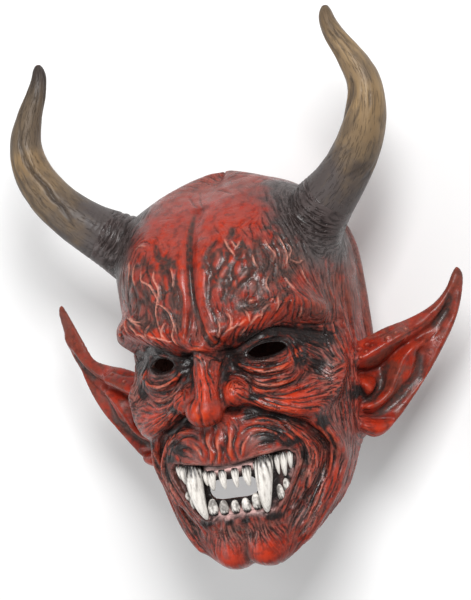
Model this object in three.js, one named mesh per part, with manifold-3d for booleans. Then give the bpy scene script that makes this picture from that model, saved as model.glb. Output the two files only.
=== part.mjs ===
// Latex devil mask: one hollow casting that covers the whole head, with two horns, two pointed ears,
// open eyes and a bared mouth with fangs. It lies on the back of its head with the face up.
import * as THREE from "three";
import { mergeVertices } from "three/addons/utils/BufferGeometryUtils.js";
import Module from "manifold-3d";

const wasm = await Module();
wasm.setup();

// Head frame, in millimetres: x to the side, y to the crown, z out of the face, zero between the ears.
const WALL = 3.2; // thickness of the latex
const REST_DEPTH = 94; // from between the ears back to the flat patch that it lies on
const REST_HEIGHT = 34; // of the middle of that patch
const SKULL_CENTRE = new THREE.Vector3(0, 20, 0);
const FRONT_SQUARENESS = 2.3; // exponents of the head's level sections
const BACK_SQUARENESS = 1.88;

// Outlines of the bare head without its features, as [outward, up] points from the crown down.
const CROWN = [0, 139.5];
const FRONT_LINE = [
  CROWN, [30, 133], [60, 122], [83, 104], [96, 86], [103, 60], [100, 35], [97, 20],
  [96, 0], [99, -30], [100, -60], [94, -90], [86, -110], [70, -118], [45, -120],
];
const SIDE_LINE = [
  CROWN, [44, 130], [67, 108.5], [78.5, 84], [81, 50], [80.5, 20], [79, -15], [74, -45],
  [64, -75], [50, -100],
];
const BACK_LINE = [
  CROWN, [36, 133], [66, 115], [87, 88], [98, 55], [99, 20], [92, -10], [82, -40], [75, -70], [73, -95],
];
const BOTTOM_RADIUS = 135;

const { clamp, lerp, smoothstep, degToRad, radToDeg } = THREE.MathUtils;
const gauss = (distance, width) => Math.exp(-((distance / width) ** 2));
const SIDES = [1, -1];
const HUGE = 400; // wider than the whole mask, for blocks that cut through it
const FAR = 200; // in front of the whole face

// A smooth curve through [place, value] knots.
function through(knots) {
  const slope = knots.map((_, i) => {
    const before = knots[Math.max(i - 1, 0)];
    const after = knots[Math.min(i + 1, knots.length - 1)];
    return (after[1] - before[1]) / (after[0] - before[0]);
  });
  return (place) => {
    const i = clamp(knots.findLastIndex((k) => k[0] <= place), 0, knots.length - 2);
    const span = knots[i + 1][0] - knots[i][0];
    const s = clamp((place - knots[i][0]) / span, 0, 1);
    const fall = (1 + 2 * s) * (1 - s) ** 2;
    const leave = s * (1 - s) ** 2;
    const arrive = s * s * (s - 1);
    return (
      knots[i][1] * fall + knots[i + 1][1] * (1 - fall) + span * (slope[i] * leave + slope[i + 1] * arrive)
    );
  };
}

// The distance of an outline from the skull's centre, by the angle from the crown in degrees.
function polar(outline) {
  const knots = outline.map(([out, up]) => {
    const rise = up - SKULL_CENTRE.y;
    return [radToDeg(Math.atan2(out, rise)), Math.hypot(out, rise)];
  });
  return through([...knots, [180, BOTTOM_RADIUS]]);
}
const frontAt = polar(FRONT_LINE);
const sideAt = polar(SIDE_LINE);
const backAt = polar(BACK_LINE);

// The bare head's distance from the centre in a direction.
function skullRadius(direction) {
  const angle = radToDeg(Math.acos(clamp(direction.y, -1, 1)));
  const level = Math.hypot(direction.x, direction.z);
  const ahead = direction.z >= 0;
  const power = ahead ? FRONT_SQUARENESS : BACK_SQUARENESS;
  const depth = ahead ? frontAt(angle) : backAt(angle);
  if (level < 1e-6) return depth;
  const sideways = Math.abs(direction.x) / level / sideAt(angle);
  const forward = Math.abs(direction.z) / level / depth;
  return (sideways ** power + forward ** power) ** (-1 / power);
}

// The point of the bare face in front of (x, y), by halving.
function onFace([x, y]) {
  let inside = 0;
  let outside = 160;
  for (let step = 0; step < 30; step++) {
    const z = (inside + outside) / 2;
    const reach = new THREE.Vector3(x, y, z).sub(SKULL_CENTRE);
    if (reach.length() < skullRadius(reach.clone().normalize())) inside = z;
    else outside = z;
  }
  return new THREE.Vector3(x, y, inside);
}

// Sculpting strokes: each gives how far it lifts the skin at a point of the bare head, by its distance
// from a path. Paths are on the right half, and every stroke is mirrored.
function stroke(path, width, height) {
  const leg = new THREE.Line3();
  const nearest = new THREE.Vector3();
  return (point) => {
    let least = Infinity;
    for (let i = 0; i + 1 < path.length; i++) {
      leg.set(path[i], path[i + 1]).closestPointToPoint(point, true, nearest);
      least = Math.min(least, nearest.distanceTo(point));
    }
    return height * gauss(least, width);
  };
}
const ridge = (points, width, height) => stroke(points.map(onFace), width, height);

// A round rise or hollow of the face with its middle at (x, y).
const swell = ([x, y], [across, upright], height) => (point) =>
  point.z > 0 ? height * gauss(point.x - x, across) * gauss(point.y - y, upright) : 0;

const BROW = [
  ridge([[9, 41], [18, 39], [30, 44], [42, 50], [54, 53], [64, 49], [70, 42]], 8, 8),
  ridge([[78, 60], [79, 45], [77, 32]], 9, -4),
];
const EYES = [
  swell([40, 29], [25, 9], -10),
  swell([14, 29], [7, 6], -6),
  ridge([[50, 36], [60, 37], [68, 31]], 7, -5),
  swell([38, 26], [14, 9], 5.5),
];
const EYE_BAGS = [
  ridge([[22, 18], [30, 13], [40, 11], [50, 13], [57, 19]], 4, 3),
  ridge([[17, 6], [28, -1], [40, -4.5], [53, -3], [62, 4]], 4, -3.5),
];
const SMILE_GROOVE = [
  [22, -10], [30, -15], [40, -20], [50, -28], [57, -38], [60, -50], [56, -64], [47, -78], [38, -90],
];
const CHEEKS = [
  ridge([[24, 0], [34, -8], [46, -14], [58, -15], [68, -8], [72, 4]], 9, 9.5),
  ridge(SMILE_GROOVE, 5, -7.5),
  ridge([[44, -27], [52, -36], [55, -46], [53, -57], [48, -68]], 4.5, 4),
  ridge([[60, -32], [66, -44], [66, -58], [60, -74], [50, -88], [39, -101]], 5.5, 4),
];
const NOSE = [
  ridge([[0, 32], [0, 18], [0, 8]], 9.5, 12),
  ridge([[0, 16], [0, 6]], 9, 5),
  swell([0, -3], [11.5, 10], 14),
  swell([17, 1], [8, 8], 5),
  ridge([[13, 25], [17, 16], [26, 8]], 5, -4),
  swell([15, -9], [5, 3.5], -5), // nostril
];
const MUZZLE = [
  swell([0, -35], [20, 11], 5),
  swell([26, -34], [13, 9], 2),
  ridge([[0, -85], [16, -86], [28, -82], [38, -71]], 5, 1.2),
];
const CHIN = [swell([14, -107], [13, 12], 9), ridge([[0, -96], [0, -118]], 4, -4)];
const FOREHEAD = [
  ridge([[0, 122], [0, 100], [0, 75], [0, 50], [4, 38]], 3.4, -3.4),
  ridge([[9, 100], [8, 75], [9, 52]], 6, 2.5),
  swell([38, 80], [18, 24], 3),
];
const HORN_ROOT = [new THREE.Vector3(74, 108, 30), new THREE.Vector3(77, 111, 31)];
const HORN_SWELL = stroke(HORN_ROOT, 27, 10);

// A doubled fold of the skin runs over the skull behind the horns.
function skullFold(point) {
  const behind = point.z + 14 + 0.12 * (point.y - SKULL_CENTRE.y);
  return smoothstep(point.y, -10, 20) * (2 * gauss(behind, 6) - 1.6 * gauss(behind - 9, 5));
}
const FEATURES = [
  ...BROW, ...EYES, ...EYE_BAGS, ...CHEEKS, ...NOSE, ...MUZZLE, ...CHIN, ...FOREHEAD, HORN_SWELL, skullFold,
];

// The sculpted head's distance from the centre in a direction.
function headRadius(direction) {
  const bare = skullRadius(direction);
  const point = direction.clone().multiplyScalar(bare).add(SKULL_CENTRE);
  point.x = Math.abs(point.x);
  return FEATURES.reduce((sum, feature) => sum + feature(point), bare);
}

// The lining stays a wall's thickness inside the deepest place nearby, so no crease cuts through it.
const CREASE_REACH = degToRad(4);
function liningRadius(direction) {
  const side = new THREE.Vector3().crossVectors(direction, new THREE.Vector3(0.3, 0.9, 0.31)).normalize();
  const up = new THREE.Vector3().crossVectors(side, direction);
  let least = headRadius(direction);
  for (let turn = 0; turn < 2 * Math.PI; turn += Math.PI / 4) {
    const tilted = direction.clone();
    tilted.addScaledVector(side, Math.cos(turn) * CREASE_REACH);
    tilted.addScaledVector(up, Math.sin(turn) * CREASE_REACH);
    least = Math.min(least, headRadius(tilted.normalize()));
  }
  return least - WALL;
}

// A closed geometry as a solid.
function solid(geometry) {
  const bare = geometry.clone();
  bare.deleteAttribute("normal");
  bare.deleteAttribute("uv");
  const merged = mergeVertices(bare, 1e-4);
  return new wasm.Manifold(
    new wasm.Mesh({
      numProp: 3,
      vertProperties: merged.attributes.position.array,
      triVerts: new Uint32Array(merged.index.array),
    }),
  );
}
const join = (solids) => solids.reduce((all, one) => all.add(one));

// Moves each vertex of a geometry to place(vertex, u, v).
function reshape(geometry, place) {
  const { position, uv } = geometry.attributes;
  for (let i = 0; i < position.count; i++) {
    const vertex = new THREE.Vector3().fromBufferAttribute(position, i);
    const moved = place(vertex, uv.getX(i), uv.getY(i));
    position.setXYZ(i, moved.x, moved.y, moved.z);
  }
  return geometry;
}

// The rows' angles from the crown, by their share: they lie close together from the brow to the chin.
const rowAngle = through([[0, 0], [0.17, 55], [0.3, 78], [0.64, 118], [0.93, 158], [1, 180]]);
const MIDDLE_SHARE = 0.45; // below 1 the columns crowd towards the middle of the face

function headSolid(columns, rows, radiusAt, floor) {
  const place = (_, u, v) => {
    const across = 2 * (u % 1) - 1;
    const turn = Math.PI * (MIDDLE_SHARE * across + (1 - MIDDLE_SHARE) * across ** 3);
    const angle = degToRad(rowAngle(1 - v));
    const level = v === 0 || v === 1 ? 0 : Math.sin(angle);
    const aside = u % 1 === 0 ? 0 : level * Math.sin(turn);
    const direction = new THREE.Vector3(aside, Math.cos(angle), level * Math.cos(turn));
    return direction.clone().multiplyScalar(radiusAt(direction)).add(SKULL_CENTRE);
  };
  const round = solid(reshape(new THREE.SphereGeometry(1, columns, rows), place));
  const under = new THREE.BoxGeometry(HUGE, HUGE, HUGE).translate(0, 0, floor - HUGE / 2);
  return round.subtract(solid(under));
}

// A round limb along a curve: radiusAt takes the share of the length.
function limb(path, radiusAt, sides, steps) {
  const curve = new THREE.CatmullRomCurve3(path);
  const frames = curve.computeFrenetFrames(steps, false);
  const place = (vertex) => {
    const along = vertex.y + 0.5;
    const step = Math.round(along * steps);
    const point = curve.getPointAt(along);
    point.addScaledVector(frames.normals[step], vertex.z * radiusAt(along));
    point.addScaledVector(frames.binormals[step], vertex.x * radiusAt(along));
    return point;
  };
  return solid(reshape(new THREE.CylinderGeometry(1, 1, 1, sides, steps), place));
}

// The tip and the wings of the nose.
const NOSE_BULBS = [
  { middle: [-2.5, -6.5, 108], reach: [12.2, 11, 13.5] },
  { middle: [17, 2.5, 98], reach: [9.8, 9.2, 11] },
  { middle: [-18, 2.5, 98], reach: [9.8, 9.2, 11] },
];
const bulb = ({ middle, reach }) =>
  solid(new THREE.SphereGeometry(1, 12, 8).scale(...reach).translate(...middle));

// Horns: the path starts inside the skull, sweeps out and up, and turns out again at the tip.
const HORN_PATH = [
  [62, 98, 25], [77, 110.7, 30.9], [91.6, 122.5, 35], [104.9, 135.8, 39], [115.8, 151, 42.2],
  [123.2, 168.5, 44], [124.6, 187.4, 43.5], [118, 205.5, 42.9], [110.2, 220.5, 41.6], [106.6, 231, 39.9],
  [106.2, 241.2, 37.5],
];
const hornRadius = through([
  [0, 25], [0.12, 21], [0.23, 17.8], [0.38, 15.8], [0.52, 14.2], [0.63, 12], [0.74, 9.8], [0.83, 7.9],
  [0.91, 6.2], [0.97, 4.4], [1, 1.8],
]);
const HORN_HOLLOW = 0.62; // share of the horn's length that is hollow

const hornPath = (side) => HORN_PATH.map(([x, y, z]) => new THREE.Vector3(side * x, y, z));
const horn = (side) => limb(hornPath(side), hornRadius, 12, 14);

function hornHollow(side) {
  const whole = new THREE.CatmullRomCurve3(hornPath(side));
  const path = [0, 0.25, 0.5, 0.75, 1].map((share) => whole.getPointAt(share * HORN_HOLLOW));
  const taper = (along) => (along === 1 ? 0.4 : 1);
  return limb(path, (along) => (hornRadius(along * HORN_HOLLOW) - WALL) * taper(along), 8, 6);
}

// Ears: a leaf between an upper and a lower edge that meet at the tip, leaning back from the head.
const EAR_THICKNESS = 6;
const EAR_ROOT = 82; // distance from the middle where the ear leaves the head
const EAR_ROOT_DEPTH = 20;
const EAR_LEAN = 0.52; // how much it falls back with each step outward
const EAR_UPPER = [[70, 12], [84, 16], [98, 20.5], [113, 23.5], [127, 28.5]];
const EAR_LOWER = [[70, -44], [80, -52], [92, -46], [107, -31], [125, -9]];
const EAR_TIPS = [
  { side: 1, upper: [[138, 37], [144.5, 48], [148, 52]], lower: [[141, 15], [149, 35], [150, 51]] },
  // the other stands taller
  { side: -1, upper: [[136, 45], [144, 62], [148.5, 70]], lower: [[142, 26], [149.5, 48], [151, 69]] },
];
const onEar = ([x, y]) => new THREE.Vector3(x, y, EAR_ROOT_DEPTH - EAR_LEAN * (x - EAR_ROOT));
const EAR_FOLDS = [
  { path: [[76, 5], [92, 10], [107, 15], [120, 19], [131, 26], [142, 40]], width: 6.5, height: 6 },
  { path: [[87, -46], [101, -38], [117, -20], [126, -5], [136, 10], [144, 30]], width: 4.5, height: 3 },
  { path: [[82, -8], [94, -6], [106, 4]], width: 5, height: -5 },
  { path: [[108, 2], [99, -13], [93, -23], [82, -30]], width: 4.5, height: 4.5 },
  { path: [[88, -12], [89, -20]], width: 5, height: -5 },
  { path: [[79, -14], [81, -18]], width: 5.5, height: 8 },
  { path: [[76, -44], [86, -47]], width: 6, height: 5 },
].map(({ path, width, height }) => stroke(path.map(onEar), width, height));
const EDGE_THINNING = 0.6; // how much thinner the ear is at its edges and at its tip
const TIP_THINNING = 0.4;

function ear({ side, upper, lower }) {
  const upperEdge = new THREE.CatmullRomCurve3([...EAR_UPPER, ...upper].map(onEar));
  const lowerEdge = new THREE.CatmullRomCurve3([...EAR_LOWER, ...lower].map(onEar));
  const facing = new THREE.Vector3(EAR_LEAN, 0, 1).normalize();
  const place = (vertex) => {
    const along = vertex.x + 0.5;
    const across = vertex.y + 0.5;
    const point = lowerEdge.getPoint(along).lerp(upperEdge.getPoint(along), across);
    const relief = vertex.z > 0 ? EAR_FOLDS.reduce((sum, fold) => sum + fold(point), 0) : 0;
    const edge = 1 - EDGE_THINNING * Math.abs(2 * across - 1) ** 6;
    const taper = 1 - TIP_THINNING * along ** 3;
    point.addScaledVector(facing, taper * edge * (vertex.z * EAR_THICKNESS + relief));
    point.x *= side;
    return point;
  };
  const geometry = reshape(new THREE.BoxGeometry(1, 1, 1, 12, 10, 1), place);
  if (side < 0) geometry.index.array.reverse();
  return solid(geometry);
}

// Mouth: the outline of the lips from the middle of the lower one round to the middle of the upper one.
const LIPS = [
  [0, -80], [10, -79.5], [18, -82], [26, -80], [32, -74], [37, -66], [41, -58], [44, -51.5],
  [44.8, -46], [41, -42], [34, -42], [27, -43], [18, -43.5], [9, -45], [0, -46],
];
const MOUTH_Y = -62;
const MOUTH_GAP = [[0, -68.5], [9, -68.5], [15.5, -67], [17.5, -62.5], [15.5, -57], [8, -55.5], [0, -56]];
const LIP_BACKING = 4; // how much the lining leaves around the lips
const MOUTH_DEPTH = 60; // where the cuts for the mouth begin, well behind the gums
const BACKING_DEPTH = 40;
const GUM_FRONT = 95; // half-axes of the upright ellipse that the gums follow
const GUM_ACROSS = 79;
const GUM_HEIGHT = 120; // of the block that leaves them standing

// A flat outline pushed from one depth to another.
function pushed(outline, from, to) {
  const shape = new THREE.Shape(outline.map(([x, y]) => new THREE.Vector2(x, y)));
  const geometry = new THREE.ExtrudeGeometry(shape, { depth: to - from, bevelEnabled: false });
  return solid(geometry.translate(0, 0, from));
}
const mirror = (outline) => outline.map(([x, y]) => [-x, y]).reverse();
const bothSides = (half) => [...half, ...mirror(half.slice(1, -1))];
const widened = (half, by) =>
  half.map(([x, y]) => [x + by * Math.sign(x), y + by * Math.sign(y - MOUTH_Y)]);

function gumBlock(inset) {
  const round = new THREE.CylinderGeometry(1, 1, GUM_HEIGHT, 40);
  return solid(round.scale(GUM_ACROSS - inset, 1, GUM_FRONT - inset).translate(0, MOUTH_Y, 0));
}
const gumDepth = (x) => GUM_FRONT * Math.sqrt(1 - (x / GUM_ACROSS) ** 2);

// Teeth: the root's place, the height of the tip, the half-width, how far the tip leans to the middle
// and how far the tooth stands out of the gum.
const FANG = { x: 25.5, root: -43, tip: -81, half: 6, lean: 3.5, proud: 7 };
const SMALL_TEETH = [
  { x: 4.3, root: -49, tip: -62, half: 2.9 },
  { x: 12.8, root: -48.5, tip: -62, half: 3 },
  { x: 35.5, root: -44, tip: -60, half: 3.4 },
  { x: 40.5, root: -43, tip: -56, half: 2.8 },
  { x: 0, root: -78, tip: -68, half: 2.8 },
  { x: 8.3, root: -78, tip: -67, half: 3 },
  { x: 16.5, root: -77, tip: -64.5, half: 3.2 },
  { x: 33.5, root: -71, tip: -62, half: 3 },
];

function tooth({ x, root, tip, half, lean = 0, proud = 2 }, side, sides, steps) {
  const path = [0, 0.5, 1].map((share) => {
    const depth = gumDepth(x) + proud * Math.sin(2.2 * share + 0.25) - 0.5;
    return new THREE.Vector3(side * (x - lean * share * share), lerp(root, tip, share), depth);
  });
  const radiusAt = (along) => half * Math.sqrt(Math.max(1 - along ** 1.6, 0.012));
  return limb(path, radiusAt, sides, steps);
}

function teeth(side) {
  const small = SMALL_TEETH.filter(({ x }) => x > 0 || side > 0);
  return [tooth(FANG, side, 8, 5), ...small.map((one) => tooth(one, side, 5, 3))];
}

// The rim, as [depth, height] from the nape to the throat: it runs close behind the jaw.
const RIM = [
  [-140, -62], [-90, -60], [-60, -56], [-20, -52], [14, -51], [25, -57], [32, -72], [42, -84],
  [58, -94], [70, -104], [77, -118], [80, -135],
];
const RIM_STEPS = 24;
const BELOW = -200;

function underside() {
  const rim = new THREE.SplineCurve(RIM.map(([depth, height]) => new THREE.Vector2(depth, height)));
  const edge = rim.getPoints(RIM_STEPS);
  const corners = [edge.at(-1), edge[0]].map((end) => new THREE.Vector2(end.x, BELOW));
  const geometry = new THREE.ExtrudeGeometry(new THREE.Shape([...edge, ...corners]), {
    depth: HUGE,
    bevelEnabled: false,
  });
  return solid(geometry.translate(0, 0, -HUGE / 2).rotateY(-Math.PI / 2));
}

const EYE_SLIT = [
  [25.5, 24.8], [30, 21.8], [38, 20.8], [45, 22], [49, 24.5], [45, 27.6], [38, 29.4], [31, 28.2],
];
const EYE_DEPTH = 40;
const eyeSlit = (side) => pushed(side > 0 ? EYE_SLIT : mirror(EYE_SLIT), EYE_DEPTH, FAR);

// The whole casting: the solid form, less the mouth's pocket and the hollow, with the teeth set in.
function mask() {
  const form = join([
    headSolid(50, 44, headRadius, -REST_DEPTH),
    ...NOSE_BULBS.map(bulb),
    ...SIDES.map(horn),
    ...EAR_TIPS.map(ear),
  ]);
  const pocket = pushed(bothSides(LIPS), MOUTH_DEPTH, FAR).subtract(gumBlock(0));
  const backing = pushed(bothSides(widened(LIPS, LIP_BACKING)), BACKING_DEPTH, FAR).subtract(gumBlock(WALL));
  const cavity = headSolid(24, 20, liningRadius, WALL - REST_DEPTH).subtract(backing);
  const hollow = join([
    cavity,
    ...SIDES.map(hornHollow),
    ...SIDES.map(eyeSlit),
    pushed(bothSides(MOUTH_GAP), MOUTH_DEPTH, FAR),
  ]);
  const cast = form.subtract(pocket).subtract(hollow);
  return join([cast, ...SIDES.flatMap(teeth)]).subtract(underside());
}

function geometryOf(made) {
  const { vertProperties, triVerts } = made.getMesh();
  const geometry = new THREE.BufferGeometry();
  geometry.setAttribute("position", new THREE.BufferAttribute(vertProperties, 3));
  geometry.setIndex(new THREE.BufferAttribute(triVerts, 1));
  return geometry;
}

const latex = new THREE.MeshStandardMaterial({ color: 0x9c2f22, roughness: 0.55, metalness: 0 });
const casting = new THREE.Mesh(geometryOf(mask()), latex);
casting.name = "mask";

const group = new THREE.Group();
group.add(casting);
group.position.set(0, -REST_HEIGHT, REST_DEPTH); // the origin is the middle of the patch it lies on

export default group;
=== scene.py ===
# Latex devil mask, lying on the back of its head with the face up.
import math

import bmesh
import bpy
import numpy as np
from mathutils import Matrix, Vector
from mathutils.bvhtree import BVHTree
from mathutils.kdtree import KDTree


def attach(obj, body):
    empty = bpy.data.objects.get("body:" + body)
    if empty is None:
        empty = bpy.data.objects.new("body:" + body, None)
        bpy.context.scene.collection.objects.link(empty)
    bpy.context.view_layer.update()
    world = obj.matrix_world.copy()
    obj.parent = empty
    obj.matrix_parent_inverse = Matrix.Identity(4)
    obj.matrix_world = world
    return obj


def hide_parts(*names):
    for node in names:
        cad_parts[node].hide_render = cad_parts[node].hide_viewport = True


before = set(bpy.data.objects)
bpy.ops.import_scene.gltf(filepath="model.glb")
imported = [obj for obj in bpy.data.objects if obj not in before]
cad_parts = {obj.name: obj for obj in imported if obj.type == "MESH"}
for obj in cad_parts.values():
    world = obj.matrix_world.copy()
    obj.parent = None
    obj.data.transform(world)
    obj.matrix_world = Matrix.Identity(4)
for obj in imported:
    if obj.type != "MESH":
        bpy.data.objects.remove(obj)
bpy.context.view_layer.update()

# Head frame, in millimetres: x to the side, y to the crown, z out of the face, zero between the
# ears.
MM = 0.001
REST_DEPTH = 94  # how far behind the ears the flat patch lies that the mask rests on
HEAD_ZERO = np.array([0.0, -34.0, REST_DEPTH])  # the head's zero, from the middle of that patch
WALL = 3.2
SKULL_CENTRE = np.array([0.0, 20.0, 0.0])
FRONT_SQUARENESS = 2.3  # 2 is a round level section of the skull, more a squarer one
BACK_SQUARENESS = 1.88
SIDES = (1, -1)

# Outlines of the bare head without its features, as (outward, up) points from the crown down.
CROWN = (0, 139.5)
FRONT_LINE = [
    CROWN, (30, 133), (60, 122), (83, 104), (96, 86), (103, 60), (100, 35), (97, 20), (96, 0),
    (99, -30), (100, -60), (94, -90), (86, -110), (70, -118), (45, -120),
]
SIDE_LINE = [
    CROWN, (44, 130), (67, 108.5), (78.5, 84), (81, 50), (80.5, 20), (79, -15), (74, -45),
    (64, -75), (50, -100),
]
BACK_LINE = [
    CROWN, (36, 133), (66, 115), (87, 88), (98, 55), (99, 20), (92, -10), (82, -40), (75, -70),
    (73, -95),
]
BOTTOM_RADIUS = 135


# Curves and distances

def gauss(distance, width):
    return np.exp(-((distance / width) ** 2))


def ease(value, low, high):
    """0 below low, 1 above high, and a smooth step between them."""
    share = np.clip((value - low) / (high - low), 0, 1)
    return share * share * (3 - 2 * share)


def through(knots):
    """A smooth curve through (place, value) knots."""
    at, value = np.array(knots, float).T
    slope = np.gradient(value, at)
    slope[1:-1] = (value[2:] - value[:-2]) / (at[2:] - at[:-2])

    def curve(place):
        place = np.asarray(place, float)
        i = np.clip(np.searchsorted(at, place, side="right") - 1, 0, len(at) - 2)
        span = at[i + 1] - at[i]
        s = np.clip((place - at[i]) / span, 0, 1)
        fall = (1 + 2 * s) * (1 - s) ** 2
        leave = s * (1 - s) ** 2
        arrive = s * s * (s - 1)
        level = value[i] * fall + value[i + 1] * (1 - fall)
        return level + span * (slope[i] * leave + slope[i + 1] * arrive)

    return curve


def smooth_path(points, steps):
    """A Catmull-Rom curve through 3-D points, with that many steps along its length."""
    points = np.array(points, float)
    ends = [2 * points[0] - points[1], *points, 2 * points[-1] - points[-2]]
    dense = []
    for before, a, b, after in zip(ends, ends[1:], ends[2:], ends[3:]):
        for s in np.linspace(0, 1, 24, endpoint=False):
            dense.append(
                0.5 * (2 * a + (b - before) * s + (2 * before - 5 * a + 4 * b - after) * s**2
                       + (3 * a - before - 3 * b + after) * s**3)
            )
    dense = np.array([*dense, points[-1]])
    length = np.concatenate([[0], np.cumsum(np.linalg.norm(np.diff(dense, axis=0), axis=1))])
    at = np.linspace(0, length[-1], steps + 1)
    return np.stack([np.interp(at, length, dense[:, axis]) for axis in range(3)], axis=1)


def length_of(path):
    return np.linalg.norm(np.diff(np.array(path, float), axis=0), axis=1).sum()


def distance_to(path, points):
    """The least distance of each point from a path of straight legs."""
    least = np.full(len(points), np.inf)
    for start, end in zip(path[:-1], path[1:]):
        leg = end - start
        share = np.clip((points - start) @ leg / (leg @ leg), 0, 1)
        least = np.minimum(least, np.linalg.norm(points - start - share[:, None] * leg, axis=1))
    return least


# The bare head

def polar(outline):
    """How far an outline is from the skull's centre, by the angle from the crown in degrees."""
    out, up = np.array(outline, float).T
    rise = up - SKULL_CENTRE[1]
    angles = np.degrees(np.arctan2(out, rise))
    reach = np.hypot(out, rise)
    return through([(-angles[1], reach[1]), *zip(angles, reach), (180, BOTTOM_RADIUS)])


front_at = polar(FRONT_LINE)
side_at = polar(SIDE_LINE)
back_at = polar(BACK_LINE)


def skull_radius(direction):
    """The bare head's distance from the centre in each unit direction."""
    x, y, z = direction.T
    angle = np.degrees(np.arccos(np.clip(y, -1, 1)))
    level = np.maximum(np.hypot(x, z), 1e-6)
    ahead = z >= 0
    power = np.where(ahead, FRONT_SQUARENESS, BACK_SQUARENESS)
    depth = np.where(ahead, front_at(angle), back_at(angle))
    sideways = np.abs(x) / level / side_at(angle)
    forward = np.abs(z) / level / depth
    return (sideways**power + forward**power) ** (-1 / power)


def directions_of(points):
    reach = points - SKULL_CENTRE
    return reach / np.maximum(np.linalg.norm(reach, axis=1), 1e-9)[:, None]


def on_face(outline):
    """The points of the bare face in front of (x, y) places, by halving."""
    flat = np.array(outline, float)
    inside, outside = np.zeros(len(flat)), np.full(len(flat), 160.0)
    for _ in range(30):
        middle = (inside + outside) / 2
        reach = np.column_stack([flat, middle]) - SKULL_CENTRE
        length = np.linalg.norm(reach, axis=1)
        within = length < skull_radius(reach / length[:, None])
        inside, outside = np.where(within, middle, inside), np.where(within, outside, middle)
    return np.column_stack([flat, inside])


# Broad forms: each gives how far it lifts the skin at points of the bare head. Both halves of the
# head get the same forms.

def stroke(path, width, height):
    path = np.array(path, float)
    low, high = path.min(axis=0) - 3 * width, path.max(axis=0) + 3 * width

    def lift(points):
        near = np.all((points > low) & (points < high), axis=1)
        lifted = np.zeros(len(points))
        lifted[near] = height * gauss(distance_to(path, points[near]), width)
        return lifted

    return lift


def ridge(points, width, height):
    return stroke(on_face(points), width, height)


def swell(middle, reach, height):
    def lift(points):
        across = gauss(points[:, 0] - middle[0], reach[0])
        upright = gauss(points[:, 1] - middle[1], reach[1])
        return np.where(points[:, 2] > 0, height * across * upright, 0)

    return lift


BROW = [
    ridge([(9, 41), (18, 39), (30, 44), (42, 50), (54, 53), (64, 49), (70, 42)], 8, 8),
    ridge([(78, 60), (79, 45), (77, 32)], 9, -4),
]
EYES = [
    swell((40, 29), (25, 9), -10),
    swell((14, 29), (7, 6), -6),
    ridge([(50, 36), (60, 37), (68, 31)], 7, -5),
    swell((38, 26), (14, 9), 5.5),
]
EYE_BAGS = [
    ridge([(22, 18), (30, 13), (40, 11), (50, 13), (57, 19)], 4, 3),
    ridge([(17, 6), (28, -1), (40, -4.5), (53, -3), (62, 4)], 4, -3.5),
]
SMILE_GROOVE = [
    (22, -10), (30, -15), (40, -20), (50, -28), (57, -38), (60, -50), (56, -64), (47, -78),
    (38, -90),
]
CHEEKS = [
    ridge([(24, 0), (34, -8), (46, -14), (58, -15), (68, -8), (72, 4)], 9, 9.5),
    ridge(SMILE_GROOVE, 5, -7.5),
    ridge([(44, -27), (52, -36), (55, -46), (53, -57), (48, -68)], 4.5, 4),
    ridge([(60, -32), (66, -44), (66, -58), (60, -74), (50, -88), (39, -101)], 5.5, 4),
]
NOSE = [
    ridge([(0, 32), (0, 18), (0, 8)], 9.5, 12),
    ridge([(0, 16), (0, 6)], 9, 5),
    swell((0, -3), (11.5, 10), 14),
    swell((17, 1), (8, 8), 5),
    ridge([(13, 25), (17, 16), (26, 8)], 5, -4),
    swell((15, -9), (5, 3.5), -5),  # nostril
]
NOSE_BULBS = [  # middles and half-axes of the tip and the two wings
    ((-3.5, -6.5, 108), (13, 11, 13.5)),
    ((15.5, 0.8, 98), (9.8, 9, 11)),
    ((-19, 0, 98), (9.8, 9, 11)),
]
MUZZLE = [
    swell((0, -35), (20, 11), 5),
    swell((26, -34), (13, 9), 2),
    ridge([(0, -85), (16, -86), (28, -82), (38, -71)], 5, 1.2),
]
CHIN = [swell((12.5, -107), (14, 12), 8), ridge([(0, -98), (0, -118)], 4, -2.2)]
FOREHEAD = [
    ridge([(0, 122), (0, 100), (0, 75), (0, 50), (4, 38)], 3.4, -2.6),
    ridge([(9, 100), (8, 75), (9, 52)], 6, 2),
    swell((38, 80), (18, 24), 3),
]
HORN_SWELL = stroke([(74, 108, 30), (77, 111, 31)], 27, 10)


def skull_fold(points):
    """A doubled fold of the skin over the skull behind the horns."""
    behind = points[:, 2] + 14 + 0.12 * (points[:, 1] - SKULL_CENTRE[1])
    crown = 1 - 0.6 * gauss(points[:, 0], 22)
    return ease(points[:, 1], -10, 20) * crown * (2 * gauss(behind, 6) - 1.6 * gauss(behind - 9, 5))


FEATURES = [
    *BROW, *EYES, *EYE_BAGS, *CHEEKS, *NOSE, *MUZZLE, *CHIN, *FOREHEAD, HORN_SWELL, skull_fold,
]


def head_radius(direction):
    """The sculpted head's distance from the centre in each unit direction."""
    bare = skull_radius(direction)
    points = SKULL_CENTRE + direction * bare[:, None]
    points[:, 0] = np.abs(points[:, 0])
    return bare + sum(feature(points) for feature in FEATURES)


CREASE_REACH = math.radians(4)  # how far around a place the lining looks for a crease


def lining_radius(direction):
    """A wall's thickness inside the deepest place nearby."""
    side = np.cross(direction, (0.3, 0.9, 0.31))
    side /= np.linalg.norm(side, axis=1)[:, None]
    up = np.cross(side, direction)
    least = head_radius(direction)
    for turn in np.arange(0, 2 * math.pi, math.pi / 4):
        tilted = direction + CREASE_REACH * (math.cos(turn) * side + math.sin(turn) * up)
        least = np.minimum(least, head_radius(tilted / np.linalg.norm(tilted, axis=1)[:, None]))
    return least - WALL


# Solids, in head millimetres

def points_of(mesh):
    flat = np.empty(3 * len(mesh.vertices))
    mesh.vertices.foreach_get("co", flat)
    return flat.reshape(-1, 3)


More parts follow.
